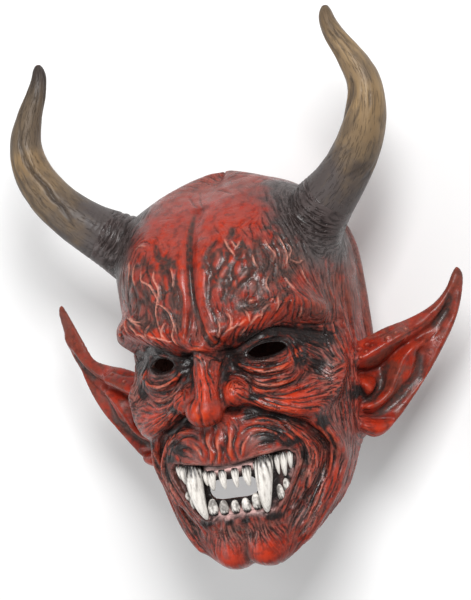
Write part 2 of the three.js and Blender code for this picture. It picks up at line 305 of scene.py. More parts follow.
def normals_of(mesh):
    flat = np.empty(3 * len(mesh.vertices))
    mesh.vertices.foreach_get("normal", flat)
    return flat.reshape(-1, 3)


def set_points(mesh, points):
    mesh.vertices.foreach_set("co", np.ascontiguousarray(points, float).ravel())
    mesh.update()


def mesh_of(bm, name):
    mesh = bpy.data.meshes.new(name)
    bm.to_mesh(mesh)
    bm.free()
    return mesh


def head_form(name, cuts, radius_at):
    """A closed head: a finely cut cube, rounded and moved out to radius_at of each direction."""
    bm = bmesh.new()
    bmesh.ops.create_cube(bm, size=2)
    bmesh.ops.subdivide_edges(bm, edges=bm.edges, cuts=cuts, use_grid_fill=True)
    mesh = mesh_of(bm, name)
    direction = np.tan(points_of(mesh) * math.pi / 4)
    direction /= np.linalg.norm(direction, axis=1)[:, None]
    set_points(mesh, SKULL_CENTRE + direction * radius_at(direction)[:, None])
    return mesh


def carried_frames(path):
    """Two sideways directions at each point of a path, turned along it without twist."""
    tangents = np.gradient(path, axis=0)
    tangents /= np.linalg.norm(tangents, axis=1)[:, None]
    normal = np.cross(tangents[0], (0, 0, 1))
    normals = []
    for tangent in tangents:
        normal = normal - tangent * (normal @ tangent)
        normal = normal / np.linalg.norm(normal)
        normals.append(normal)
    normals = np.array(normals)
    return normals, np.cross(tangents, normals)


def limb(name, path, radius_at, sides, steps):
    """A round limb along a path: radius_at takes the share of the length and the turn around it."""
    line = smooth_path(path, steps)
    normals, binormals = carried_frames(line)
    bm = bmesh.new()
    upright = Matrix.Rotation(-math.pi / 2, 4, "X")
    bmesh.ops.create_uvsphere(bm, u_segments=sides, v_segments=steps, radius=1, matrix=upright)
    mesh = mesh_of(bm, name)
    unit = points_of(mesh)
    step = np.rint(np.arccos(np.clip(unit[:, 1], -1, 1)) / math.pi * steps).astype(int)
    round_off = np.hypot(unit[:, 0], unit[:, 2])
    turn = np.arctan2(unit[:, 2], unit[:, 0])
    radius = np.where(round_off > 1e-4, radius_at(step / steps, turn), 0)
    sideways = np.cos(turn)[:, None] * normals[step] + np.sin(turn)[:, None] * binormals[step]
    set_points(mesh, line[step] + radius[:, None] * sideways)
    return mesh


HORN_PATH = [
    (62, 98, 25), (77, 110.7, 30.9), (91.6, 122.5, 35), (104.9, 135.8, 39), (115.8, 151, 42.2),
    (123.2, 168.5, 44), (124.6, 187.4, 43.5), (118, 205.5, 42.9), (110.2, 220.5, 41.6),
    (106.6, 231, 39.9), (106.2, 241.2, 37.5),
]
horn_radius = through([
    (0, 25), (0.12, 21), (0.23, 17.8), (0.38, 15.8), (0.52, 14.2), (0.63, 12), (0.74, 9.8),
    (0.83, 7.9), (0.91, 6.2), (0.97, 4.4), (1, 1.8),
])


def bulb(middle, reach):
    bm = bmesh.new()
    place = Matrix.Translation(middle) @ Matrix.Diagonal((*reach, 1))
    bmesh.ops.create_uvsphere(bm, u_segments=48, v_segments=32, radius=1, matrix=place)
    return mesh_of(bm, "bulb")


def mirrored(path, side):
    return [(side * x, y, z) for x, y, z in path]


def joined(name, meshes):
    bm = bmesh.new()
    for mesh in meshes:
        bm.from_mesh(mesh)
    bmesh.ops.recalc_face_normals(bm, faces=bm.faces)
    return mesh_of(bm, name)


def linked(name, data):
    """A new object in the scene, at the origin."""
    made = bpy.data.objects.new(name, data)
    bpy.context.scene.collection.objects.link(made)
    return made


def evaluated(piece):
    """The mesh that a piece's modifiers leave. The piece itself goes."""
    seen = piece.evaluated_get(bpy.context.evaluated_depsgraph_get())
    mesh = bpy.data.meshes.new_from_object(seen)
    bpy.data.objects.remove(piece)
    return mesh


def finished(mesh, kind, **settings):
    """A new mesh, as one modifier leaves it."""
    piece = linked(mesh.name, mesh)
    modifier = piece.modifiers.new(kind, kind)
    for setting, value in settings.items():
        setattr(modifier, setting, value)
    return evaluated(piece)


def remeshed(mesh, voxel):
    return finished(mesh, "REMESH", mode="VOXEL", voxel_size=voxel)


def boolean(kind, mesh, *others):
    """A solid with others joined to it or taken from it, one after another."""
    for other in others:
        tool = linked("tool", other)
        mesh = finished(mesh, "BOOLEAN", operation=kind, solver="MANIFOLD", object=tool)
        bpy.data.objects.remove(tool)
    return mesh


def pushed(outline, way, name):
    """A solid: a flat 3-D outline pushed along a way."""
    bm = bmesh.new()
    face = bm.faces.new([bm.verts.new(place) for place in outline])
    grown = bmesh.ops.extrude_face_region(bm, geom=[face])["geom"]
    moved = [v for v in grown if isinstance(v, bmesh.types.BMVert)]
    bmesh.ops.translate(bm, verts=moved, vec=way)
    bmesh.ops.recalc_face_normals(bm, faces=bm.faces)
    bmesh.ops.triangulate(bm, faces=bm.faces)
    return mesh_of(bm, name)


def prism(outline, low, high):
    """A flat (x, y) outline pushed from one depth to another."""
    return pushed([(x, y, low) for x, y in outline], (0, 0, high - low), "prism")


def both_sides(half):
    return [*half, *((-x, y) for x, y in reversed(half[1:-1]))]


# Ears: a leaf between an upper and a lower edge that meet at the tip, leaning back from the head.
EAR_THICKNESS = 5.0
EAR_ROOT = 82  # distance from the middle where the ear leaves the head
EAR_ROOT_DEPTH = 20
EAR_ALONE = 84  # past it there is nothing but ear
EAR_STEPS_ALONG = 110
EAR_STEPS_ACROSS = 70
EAR_LEAN = 0.52  # how much it falls back with each step outward
EAR_UPPER = [(70, 12), (84, 16), (98, 20.5), (113, 23.5), (127, 28.5)]
EAR_LOWER = [(70, -44), (80, -52), (92, -46), (107, -31), (125, -9)]
EAR_TIPS = {
    1: ([(138, 37), (144.5, 48), (148, 52)], [(141, 15), (149, 35), (151, 46), (149, 51.5)]),
    # this one stands taller
    -1: ([(136, 45), (144, 62), (148.5, 70)], [(142, 26), (149.5, 48), (152, 63), (150, 69.5)]),
}


def on_ear(outline):
    return np.array([(x, y, EAR_ROOT_DEPTH - EAR_LEAN * (x - EAR_ROOT)) for x, y in outline], float)


EAR_FOLDS = [
    stroke(on_ear(path), width, height)
    for path, width, height in (
        ([(72, 2), (84, 5), (94, 9.5), (105, 14)], 7.5, 7),  # helix
        ([(80, 5), (96, 11), (107, 15), (120, 19), (131, 26), (140, 36), (146, 45)], 4.5, 3.5),
        ([(76, -6), (84, -7), (91, -5), (97, -1), (105, 5), (116, 9), (127, 14), (136, 23)], 2.4,
         -4.5),
        ([(82, -9), (90, -9), (95, -5)], 4, -4.5),  # concha
        ([(91, -11), (89, -18), (83, -23)], 3.6, -5),
        ([(79, -13.5), (81, -18)], 5.2, 9.5),  # tragus
        ([(112, 5), (104, -4), (99, -13), (93, -23), (86, -28), (78, -30)], 3.6, 5.5),  # inner fold
        ([(120, 8), (115, 2), (108, -9), (105, -17)], 2.6, 2.6),
        ([(117, 0), (115, -8), (113, -16), (107, -20), (101, -26), (94, -31), (85, -36)], 2.8, -4),
        ([(143, 36), (138, 27), (131, 18), (128, 14)], 2.4, -2.2),
        ([(146, 33), (142, 19), (134, 7), (126, -5), (117, -20), (110, -28), (101, -38), (91, -44)],
         3.8, 3),  # rim
        ([(74, -43), (80, -47), (87, -48)], 5.6, 8),  # lobe
        ([(76, -35), (83, -39), (92, -41)], 2.2, -4),
    )
]


def ear(side):
    upper_tip, lower_tip = EAR_TIPS[side]
    bm = bmesh.new()
    bmesh.ops.create_grid(bm, x_segments=EAR_STEPS_ALONG, y_segments=EAR_STEPS_ACROSS, size=0.5)
    mesh = mesh_of(bm, "ear")
    flat = points_of(mesh)
    along, across = flat[:, 0] + 0.5, flat[:, 1] + 0.5
    step = np.rint(along * EAR_STEPS_ALONG).astype(int)
    upper = smooth_path(on_ear([*EAR_UPPER, *upper_tip]), EAR_STEPS_ALONG)[step]
    lower = smooth_path(on_ear([*EAR_LOWER, *lower_tip]), EAR_STEPS_ALONG)[step]
    middle = lower + (upper - lower) * across[:, None]
    facing = np.array([EAR_LEAN, 0, 1]) / math.hypot(EAR_LEAN, 1)
    relief = sum(fold(middle) for fold in EAR_FOLDS)
    edge = 1 - 0.65 * np.abs(2 * across - 1) ** 8
    taper = 1 - 0.35 * along**4
    front = middle + facing * (taper * edge * (EAR_THICKNESS / 2 + relief))[:, None]
    dip = np.where(relief < 0, relief, 0.35 * relief)
    back = middle - facing * (taper * edge * (EAR_THICKNESS / 2 - dip))[:, None]
    return leaf(mesh, front * (side, 1, 1), back * (side, 1, 1))


def leaf(mesh, front, back):
    """A sheet between two faces: the mesh's own grid in front, and its turned copy behind."""
    bm = bmesh.new()
    bm.from_mesh(mesh)
    for vertex, place in zip(bm.verts, front):
        vertex.co = place
    grown = bmesh.ops.extrude_face_region(bm, geom=bm.faces[:], use_keep_orig=True)["geom"]
    for vertex, place in zip((v for v in grown if isinstance(v, bmesh.types.BMVert)), back):
        vertex.co = place
    bmesh.ops.recalc_face_normals(bm, faces=bm.faces)
    return mesh_of(bm, "leaf")


# Mouth: the outline of the lips from the middle of the lower one round to the middle of the upper
# one.
LIPS = [
    (0, -80), (10, -79.5), (18, -82), (26, -80), (32, -74), (37, -66), (41, -58), (44, -51.5),
    (44.8, -46), (41, -42), (34, -42), (27, -43), (18, -43.5), (9, -45), (0, -46),
]
MOUTH_Y = -62
MOUTH_GAP = [(0, -68.5), (9, -68.5), (15.5, -67), (17.5, -62.5), (15.5, -57), (8, -55.5), (0, -56)]
MOUTH_DEPTH = 60  # the mouth's opening is cut in front of it
LIP_BACKING = 4  # how much the lining leaves around the lips
BACKING_DEPTH = 40
GUM_FRONT = 95  # half-axes of the upright ellipse that the gums follow
GUM_ACROSS = 79
EYE_SLIT = [
    (25.5, 24.8), (30, 21.8), (38, 20.8), (45, 22), (49, 24.5), (45, 27.6), (38, 29.4), (31, 28.2),
]
EYE_DEPTH = 40

# The rim, as (depth, height) from the nape to the throat: it runs close behind the jaw.
RIM = [
    (-140, -62), (-90, -60), (-60, -56), (-20, -52), (14, -51), (25, -57), (32, -72), (42, -84),
    (58, -94), (70, -104), (77, -118), (80, -135),
]
BELOW = -200
HUGE = 400  # wider than the whole mask, for blocks that cut through it
HORN_HOLLOW = 0.62  # share of the horn's length that is hollow
HEAD_CUTS = 130
LINING_CUTS = 40
CAST_VOXEL = 1.0


def rounded(outline, steps):
    """A closed (x, y) outline as a smooth one."""
    path = smooth_path([(x, y, 0) for x, y in [*outline, outline[0]]], steps)
    return [(x, y) for x, y, _ in path[:-1]]


def widened(half, by):
    return [(x + by * np.sign(x), y + by * np.sign(y - MOUTH_Y)) for x, y in half]


def gum_block(inset):
    """The upright block that fills the mouth up to the gums."""
    bm = bmesh.new()
    size = Matrix.Diagonal((GUM_ACROSS - inset, 1, GUM_FRONT - inset, 1))
    place = Matrix.Translation((0, MOUTH_Y, 0)) @ size @ Matrix.Rotation(math.pi / 2, 4, "X")
    bmesh.ops.create_cone(
        bm, cap_ends=True, segments=160, radius1=1, radius2=1, depth=120, matrix=place
    )
    bmesh.ops.triangulate(bm, faces=bm.faces)
    return mesh_of(bm, "gum_block")


def gum_depth(x):
    return GUM_FRONT * math.sqrt(1 - (x / GUM_ACROSS) ** 2)


def underside():
    """All that lies below the rim."""
    rim = smooth_path([(0, height, depth) for depth, height in RIM], 60)
    outline = [(-HUGE / 2, y, z) for _, y, z in rim]
    outline += [(-HUGE / 2, BELOW, z) for z in (rim[-1][2], rim[0][2])]
    return pushed(outline, (HUGE, 0, 0), "underside")


def block_below(depth):
    """All that lies behind a depth."""
    bm = bmesh.new()
    bmesh.ops.create_cube(bm, size=HUGE, matrix=Matrix.Translation((0, 0, depth - HUGE / 2)))
    return mesh_of(bm, "block")


def horn(side):
    return limb("horn", mirrored(HORN_PATH, side), lambda along, _: horn_radius(along), 48, 150)


def horn_hollow(side):
    def radius_at(along, _):
        return np.maximum(horn_radius(along * HORN_HOLLOW) - WALL, 1)

    path = smooth_path(mirrored(HORN_PATH, side), 40)[: int(40 * HORN_HOLLOW) + 1]
    return limb("hollow", path, radius_at, 24, 30)


def eye_slit(side):
    outline = rounded([(side * x, y) for x, y in EYE_SLIT], 40)
    return prism(outline, EYE_DEPTH, HUGE / 2)


def casting():
    """The hollow casting: one wall of latex with open eyes, a bared mouth and an open underside."""
    outer = [head_form("head", HEAD_CUTS, head_radius)]
    outer += [horn(side) for side in SIDES]
    outer += [ear(side) for side in SIDES] + [bulb(*place) for place in NOSE_BULBS]
    form = remeshed(joined("form", outer), CAST_VOXEL)
    pocket = boolean("DIFFERENCE", prism(both_sides(LIPS), MOUTH_DEPTH, HUGE / 2), gum_block(0))
    backing = prism(both_sides(widened(LIPS, LIP_BACKING)), BACKING_DEPTH, HUGE / 2)
    backing = boolean("DIFFERENCE", backing, gum_block(WALL))
    hollow = head_form("lining", LINING_CUTS, lining_radius)
    hollow = boolean("DIFFERENCE", hollow, block_below(WALL - REST_DEPTH), backing)
    slits = [eye_slit(side) for side in SIDES]
    gap = prism(rounded(both_sides(MOUTH_GAP), 60), MOUTH_DEPTH, HUGE / 2)
    hollow = boolean("UNION", hollow, *[horn_hollow(side) for side in SIDES], *slits, gap)
    return boolean("DIFFERENCE", form, block_below(-REST_DEPTH), pocket, hollow, underside())


HORN_JOINT = 0.17  # share of the horn's length where it leaves the skin


def horn_block(side, earlier):
    """A loose sleeve around all of a horn past its joint with the skin, or some steps earlier."""
    steps = 100
    path = smooth_path(mirrored(HORN_PATH, side), steps)
    path = path[int(steps * HORN_JOINT) - earlier:]
    path = [*path[::6], path[-1], 2 * path[-1] - path[-7]]
    return limb("sleeve", path, lambda along, _: 32 - 14 * along, 32, 60)


def split(cast):
    """The casting as the skin and its two horns."""
    skin = boolean("DIFFERENCE", cast, *[horn_block(side, 0) for side in SIDES])
    horns = [boolean("INTERSECT", cast, horn_block(side, 1)) for side in SIDES]
    return skin, horns


# Surface tools, over the vertices of one mesh

def tree_of(places):
    tree = KDTree(len(places))
    for i, place in enumerate(places.tolist()):
        tree.insert(place, i)
    tree.balance()
    return tree


class Skin:
    """The vertices of a mesh, their neighbours for smoothing, and a tree for finding places."""

    def __init__(self, mesh):
        self.mesh = mesh
        self.points = points_of(mesh)
        edges = np.empty(2 * len(mesh.edges), int)
        mesh.edges.foreach_get("vertices", edges)
        self.a, self.b = edges.reshape(-1, 2).T
        self.count = len(self.points)
        self.degree = sum(np.bincount(end, minlength=self.count) for end in (self.a, self.b))

    def plant(self):
        """Grow the tree that in_front and nearest search.

        The faces come from the casting in no fixed order, so they are put in one: each starts
        at its lowest vertex. Otherwise the wrinkles would run differently each time."""
        faces = []
        for face in self.mesh.polygons:
            corners = list(face.vertices)
            lowest = corners.index(min(corners))
            faces.append(corners[lowest:] + corners[:lowest])
        self.tree = BVHTree.FromPolygons(self.points.tolist(), sorted(faces))

    def around(self, values):
        """The mean of each vertex's neighbours."""
        if values.ndim > 1:
            return np.column_stack([self.around(column) for column in values.T])
        total = np.bincount(self.a, values[self.b], self.count)
        total += np.bincount(self.b, values[self.a], self.count)
        return total / self.degree

    def smooth(self, values, rounds, share=0.5):
        for _ in range(rounds):
            values = values + share * (self.around(values) - values)
        return values

    def settle(self):
        set_points(self.mesh, self.points)

    def in_front(self, outline):
        """The places of the surface seen from the front at (x, y)."""
        found = []
        for x, y in outline:
            hit, _, _, _ = self.tree.ray_cast(Vector((x, y, HUGE)), Vector((0, 0, -1)))
            if hit is not None:
                found.append(hit)
        return np.array(found)

    def nearest(self, points):
        return np.array([self.tree.find_nearest(Vector(p))[0] for p in points])


# Lines sculpted one by one, as (x, y) places seen from the front. Each group has a width, a height,
# negative for a crease, the brush that colours it, how strongly, and whether the other half gets
# the same lines.
# The vein brush lays pale pink on raised veins, cushions, folds and the tops of warts: partly their
# paint, partly a painted highlight.
BRUSHES = INK, GREY, VEIN_HIGHLIGHT = range(3)
BOTH, ONE = True, False
LINES = [
    # broad dark furrows of the forehead
    (2.1, -1.1, GREY, 1, ONE, [
        [(19, 104), (16, 99), (13, 95), (12.5, 90), (15, 85), (14, 80), (12.5, 72), (12, 64),
         (13, 57), (15, 51)],
        [(21, 100), (26, 96), (26, 90), (23, 86), (18, 82), (14, 77)],
        [(31, 88), (29, 83), (26, 78), (24, 72), (23, 66), (23, 58)],
        [(28, 76), (26, 70), (27, 64)],
        [(46, 81), (41, 75), (35, 71), (31, 66), (29, 60)],
        [(27, 109), (28, 104), (25, 101)],
        [(34, 97), (34, 91), (33, 86)],
        [(38, 96), (40, 91), (42, 85), (45, 80)],
        [(43, 99), (44, 91), (46, 83)],
        [(46, 58), (40, 55), (34, 57), (33, 63)],
        [(-29, 107), (-26, 101), (-23, 96), (-17, 94.5), (-12, 96)],
        [(-20, 93), (-17, 88), (-14, 82), (-13, 76), (-15, 68), (-14, 60)],
        [(-10, 86), (-10, 78), (-8, 70), (-9, 62), (-11, 54), (-11, 46)],
        [(-34, 84), (-34, 76), (-33, 68), (-30, 60)],
        [(-22, 82), (-20, 76), (-21, 69)],
    ]),
    # middle furrow and the folds beside it
    (1.8, -1.2, GREY, 1.3, ONE, [
        [(-3, 123), (-2.6, 112), (-2, 100), (-0.5, 86), (0, 70), (1, 60), (4, 48), (8, 40),
         (11, 32)],
    ]),
    (1.4, -1.8, INK, 1, ONE, [
        [(-2, 60), (-4, 50), (-6, 42)],
        [(-15, 27), (-8, 31), (0, 31.5), (6, 29), (9, 25)],
        [(10, 34), (14, 36), (12, 42)],
    ]),
    # fine creases of the forehead and crown
    (0.9, -1.0, INK, 0.7, ONE, [
        [(14, 112), (17, 108), (20, 105)],
        [(26, 109), (32, 108), (36, 112)],
        [(50, 97), (53, 89), (54, 80), (52, 71)],
        [(57, 98), (60, 90), (61, 80), (64, 70)],
        [(66, 98), (68, 88), (70, 76)],
        [(26, 70), (29, 76), (27, 81)],
        [(-8, 134), (-4, 129), (1, 124), (3, 120)],
        [(-13, 132), (-7, 127), (-2, 124)],
        [(4, 133), (12, 132), (22, 129)],
        [(-30, 100), (-33, 92), (-31, 84)],
        [(-45, 104), (-49, 96), (-50, 88)],
        [(-56, 96), (-58, 88), (-56, 80)],
        [(-46, 80), (-44, 72), (-47, 64)],
        [(-40, 74), (-37, 66), (-40, 58)],
    ]),
    # raised veins
    (0.75, 1.15, VEIN_HIGHLIGHT, 1, ONE, [
        [(23, 102), (26, 97), (29, 93), (32, 89)],
        [(28, 100), (32, 95), (34, 99)],
        [(42, 89), (43, 84), (45, 80)],
        [(48, 97), (51, 91), (54, 86), (53, 80)],
        [(55, 98), (58, 91), (60, 84), (59, 76)],
        [(60, 92), (62, 86), (60, 80)],
        [(62, 80), (65, 77), (68, 79)],
        [(66, 74), (67, 66), (69, 60)],
        [(58, 70), (60, 64), (63, 60)],
        [(66, 50), (64, 46), (61, 42)],
        [(50, 74), (48, 68), (50, 62)],
        [(-51, 99), (-50, 88), (-52, 79)],
        [(-38, 96), (-37, 90), (-37, 84), (-30, 80), (-27, 75), (-25, 70), (-28, 62), (-27, 52),
         (-20, 41)],
        [(-26, 90), (-27, 84), (-24, 78), (-24, 70)],
        [(-29, 70), (-23, 66), (-18, 61), (-16, 55), (-14, 49), (-10, 42)],
        [(-13, 89), (-12, 83), (-13, 76)],
        [(-46, 104), (-41, 106), (-36, 105)],
        [(-61, 64), (-54, 61), (-46, 57), (-39, 54)],
        [(-52, 62), (-46, 58), (-40, 57)],
        [(-44, 96), (-45, 88), (-43, 80)],
        [(-56, 58), (-62, 54), (-66, 50)],
    ]),
    (0.8, 1.15, VEIN_HIGHLIGHT, 0.9, BOTH, [
        [(18, 41), (24, 44), (31, 46), (36, 49)],
        [(24, 44), (25, 50), (22, 55)],
        [(31, 40), (37, 45), (42, 49), (47, 50)],
        [(37, 45), (37, 51), (34, 55)],
        [(43, 46), (46, 52), (51, 56)],
        [(27, 38), (33, 43)],
        [(52, 49), (55, 54), (55, 60)],
        [(14, 38), (17, 45), (15, 52)],
    ]),
    # brows
    (1.0, -1.3, INK, 0.6, BOTH, [
        [(24, 49), (19, 43), (13, 35)],
        [(33, 50), (27, 42), (21, 34)],
        [(42, 51), (34, 42), (29, 36)],
        [(50, 53), (43, 45), (37, 39)],
        [(58, 54), (52, 48), (46, 43)],
        [(62, 57), (58, 48)],
    ]),
    # smooth cushions of the forehead
    (3.0, 0.8, VEIN_HIGHLIGHT, 0.35, ONE, [
        [(28, 89), (24, 83), (20, 76), (18, 68), (18.5, 61)],
        [(41, 81), (37, 77), (33, 75)],
        [(17, 97), (20, 92), (18, 88)],
        [(34, 106), (37, 103)],
        [(37, 94), (37, 89)],
        [(-25, 92), (-21, 82), (-17, 72)],
        [(-33, 82), (-30, 76), (-29, 68)],
        [(-13, 91), (-12, 88)],
    ]),
    # eyelids and bags
    (1.8, -2.0, INK, 1, BOTH, [
        [(12, 29), (20, 28), (28, 31.5), (36, 35), (44, 37.5), (52, 35), (58, 30)],
    ]),
    (1.2, 1.3, INK, 0.3, BOTH, [[(27, 28.5), (33, 32), (40, 33.5), (48, 31.5), (53, 27)]]),
    (1.2, -2.1, INK, 1, BOTH, [
        [(22, 21), (28, 17.5), (34, 15.5), (41, 14.5), (48, 15.5), (53, 19)],
        [(20, 17), (25, 12), (31, 9), (37, 7.5), (44, 7), (50, 8.5)],
        [(21, 14), (26, 8), (31, 3.5), (36, 1), (42, -1), (50, -0.5), (55, 4)],
    ]),
    (0.9, -1.2, INK, 0.9, BOTH, [
        [(23, 14), (27, 9.5), (31, 6), (37, 4), (43, 4), (49, 4)],
        [(26, 19.5), (33, 17.5), (41, 16.8), (48, 18)],
        [(25, 14), (32, 11.2), (40, 10), (48, 10.6)],
    ]),
    (1.4, 1.7, VEIN_HIGHLIGHT, 0.6, BOTH, [
        [(27, 20), (34, 18.5), (41, 17.8), (48, 18.5)],
        [(26, 15), (33, 12.5), (41, 11), (49, 11.5)],
        [(26, 10.5), (30, 5.5), (36, 2.5), (43, 1.2), (49, 2)],
    ]),
    (0.9, -1.0, INK, 0.9, BOTH, [
        [(52, 27), (58, 19), (64, 11), (68, 6)],
        [(54, 30), (62, 23), (70, 17)],
        [(51, 24), (56, 15), (60, 9)],
        [(56, 33), (66, 28), (74, 24)],
        [(53, 21), (55, 14), (54, 8)],
        [(58, 26), (66, 20), (73, 11)],
        [(58, 36), (67, 33), (75, 32)],
    ]),
    # nose
    (1.6, -1.6, INK, 1, BOTH, [
        [(12, 26), (11, 18), (10, 10), (9.5, 2), (10, -5)],
        [(10, 13), (16, 13), (23, 10), (27, 4), (27, -4)],
    ]),
    # the nostril pits, whose dark ink is painted shade
    (3.4, -4.0, INK, 1.8, ONE, [[(9, -9.5), (12, -10), (16, -8.5)]]),
    (2.0, -2.0, INK, 1.4, ONE, [[(-17, -6), (-18.5, -9), (-22, -9)]]),
    (1.2, -1.9, INK, 1, ONE, [[(-2, 2), (-2.5, -4), (-2, -9), (-3, -13), (-4, -17)]]),
    (1.0, -1.1, INK, 0.7, BOTH, [
        [(6, 24), (5, 19), (6, 14)],
    ]),
    (1.0, -0.9, INK, 0.6, ONE, [[(-6, 27), (-6, 22), (-5, 17)], [(2, 29), (3, 25)]]),
    # cheeks
    (1.0, -1.2, INK, 0.7, BOTH, [
        [(24, 4), (33, -4), (43, -10), (54, -15)],
        [(23, -2), (30, -9), (38, -15)],
        [(27, 1), (38, -5), (50, -9), (60, -10)],
        [(34, -3), (46, -5.5), (58, -4)],
    ]),
    (2.0, -2.3, INK, 1, BOTH, [SMILE_GROOVE]),
    (1.6, -1.9, INK, 0.9, BOTH, [
        [(53, -36), (57, -45), (57, -56), (52, -66), (46, -76)],
        [(62, -28), (64, -38), (64, -50), (61, -62), (55, -74)],
        [(33, -24), (42, -29), (49, -37), (51, -46), (48, -56), (41, -68), (34, -78)],
    ]),
    (1.0, -1.1, INK, 0.7, BOTH, [
        [(50, -62), (44, -76), (36, -88), (30, -98)],
        [(45, -62), (38, -74), (31, -84), (27, -92)],
        [(56, -70), (49, -84), (41, -96), (34, -104)],
        [(66, -60), (58, -78), (48, -92)],
    ]),
    # upper lip: knotted folds under the nose, arcs around the roots of the fangs
    (1.4, -1.9, INK, 1, ONE, [
        [(3, -20), (5, -27), (3, -34), (5, -43)],
        [(10, -18), (12, -24), (9, -32), (10, -42)],
        [(-3, -21), (-5, -29), (-3, -36), (-6, -43)],
        [(-11, -19), (-12, -27), (-9, -34), (-11, -42)],
        [(0, -30), (1, -36), (0, -42)],
    ]),
    (1.2, -1.6, INK, 0.95, BOTH, [
        [(14, -27), (20, -23), (28, -23), (36, -27), (41, -32), (44, -39)],
        [(19, -17), (28, -16.5), (37, -20), (44, -27), (48, -36)],
    ]),
    (1.0, -1.2, INK, 0.8, ONE, [
        [(13, -40), (14, -34), (17, -30)],
        [(-14, -38), (-15, -32), (-19, -28)],
        [(22, -30), (26, -28), (32, -29), (37, -33)],
        [(-20, -34), (-25, -30), (-31, -30)],
        [(26, -20), (33, -21), (39, -25)],
        [(-24, -19), (-32, -20), (-38, -25)],
        [(-38, -33), (-34, -38), (-33, -42)],
    ]),
    (1.9, 1.3, VEIN_HIGHLIGHT, 0.5, ONE, [
        [(7, -22), (8, -30), (6.5, -38)],
        [(-1, -23), (-1.5, -32), (-3, -41)],
        [(-7.5, -22), (-8.5, -30), (-8, -39)],
    ]),
    (1.4, 1.1, VEIN_HIGHLIGHT, 0.5, BOTH, [
        [(14, -41), (16, -33), (21, -28)],
        [(22, -20.5), (30, -20), (38, -24)],
        [(12, -43), (22, -41.5), (32, -40.5), (40, -40)],
    ]),
    # lower lip and chin
    (1.2, -1.1, INK, 0.75, ONE, [
        [(6, -81), (5, -87), (7, -92)],
        [(14, -82), (15, -88)],
        [(-4, -81), (-5, -88), (-3, -95)],
        [(-12, -81), (-14, -88)],
        [(0, -92), (1, -101), (-1, -109), (0, -117)],
        [(22, -83), (20, -91), (23, -97)],
        [(-21, -82), (-20, -90)],
    ]),
    (0.9, -0.9, INK, 0.7, BOTH, [
        [(9, -86), (10, -93), (8, -98)],
        [(17, -86), (16, -94), (18, -99)],
        [(26, -90), (29, -95), (30, -99)],
    ]),
    # gums
    (1.7, 1.9, INK, 0, ONE, [
        [(-18, -47.5), (-10, -48.8), (-3, -49), (3, -48.6), (9, -48.4), (16, -47.6)],
        [(-17, -77.5), (-9, -77), (0, -77.8), (9, -77), (17, -77.5)],
        [(32, -45), (38, -44), (44, -44)],
        [(-32, -45), (-38, -44), (-44, -44)],
        [(29, -77), (33, -72), (38, -66)],
        [(-29, -77), (-33, -72), (-38, -66)],
    ]),
    # ears
    (1.3, -1.0, INK, 1, BOTH, [
        [(75, -6), (84, -7), (91, -5), (97, -1), (105, 5), (116, 9)],
        [(77, -8), (85, -10), (88, -16), (86, -22), (78, -26)],
        [(75, -35), (83, -39), (92, -41)],
        [(92, -11), (90, -18), (86, -23)],
    ]),
    # the hollow of the ear, whose wide dark ink is partly painted shade
    (3.0, -0.5, INK, 0.95, BOTH, [
        [(77, -4), (86, -6), (95, -5)],
        [(91, -8), (88.5, -16), (84, -23), (77, -26)],
    ]),
    (3.5, -0.3, GREY, 1, BOTH, [
        [(116, 4), (115, -8), (113, -16), (107, -20), (101, -26), (94, -31), (85, -36), (77, -35)],
        [(143, 36), (138, 27), (131, 18), (126, 13)],
        [(97, -3), (92, -10), (89, -18), (83, -24), (77, -27)],
    ]),
    (5.0, 0, GREY, 0.28, BOTH, [[(76, 4), (90, 8), (104, 14), (118, 18), (130, 25), (140, 36)]]),
    (0.8, -0.8, INK, 0.7, BOTH, [
        [(84, 14), (96, 16), (108, 20)],
        [(100, 9), (112, 13), (124, 18), (134, 27)],
        [(120, 4), (127, 8), (134, 15)],
        [(121, -10), (116, -18), (108, -26)],
    ]),
]

# Warts and pimples: (x, y), radius, height.
WARTS = [
    ((39, 59.5), 2.2, 2.2), ((45, 64), 1.0, 0.8), ((52, 58), 1.2, 0.9), ((17.5, 5), 1.4, 0.9),
    ((20, 7.5), 0.9, 0.7), ((-37, -4), 1.1, 0.9), ((-41, -8), 0.9, 0.7), ((-34, -10), 0.9, 0.7),
    ((-66, 49), 2.0, 1.4), ((58, 13), 1.2, 0.8), ((102, 14), 1.6, 1.2), ((84, 5), 1.1, 0.9),
    ((82, 10), 1.3, 1.0), ((87, 12), 1.1, 0.9), ((87.5, 8), 0.9, 0.8), ((91, 11), 0.8, 0.7),
    ((107, 16.5), 1.0, 0.8), ((113, 17.5), 1.2, 0.8), ((124, -2), 1.1, 0.8), ((78, 7), 1.0, 0.8),
    ((-86, 8), 1.3, 1.0), ((-94, 12), 1.2, 0.9), ((-106, 18), 1.3, 0.9),
]

# Cords of skin down the side of the head, in front of the ears.
SIDE_LINES = [
    (2.2, 1.8, INK, 0, [
        [(76, 62, 44), (77, 45, 44), (75, 28, 45), (74, 12, 44), (73, -18, 40)],
        [(79, 40, 30), (79, 20, 30), (77, -4, 30), (74, -30, 30)],
    ]),
    (1.4, -1.7, INK, 1, [
        [(80, 66, 36), (79, 48, 37), (78, 30, 38), (77, 12, 37), (76, -8, 36), (73, -36, 34)],
        [(74, 52, 52), (73, 36, 53), (72, 20, 54), (71, 2, 54), (69, -18, 52), (66, -40, 48)],
        [(80, 50, 22), (80, 30, 22), (79, 10, 22)],
    ]),
    # behind the ears and over the back of the skull
    (1.6, -1.3, INK, 0.8, [
        [(80, 62, 0), (82, 40, -4), (81, 10, -6), (76, -25, -4)],
        [(30, 128, -30), (38, 110, -62), (36, 80, -86)],
        [(66, 96, -40), (70, 60, -56), (68, 20, -62), (60, -20, -60)],
    ]),
]

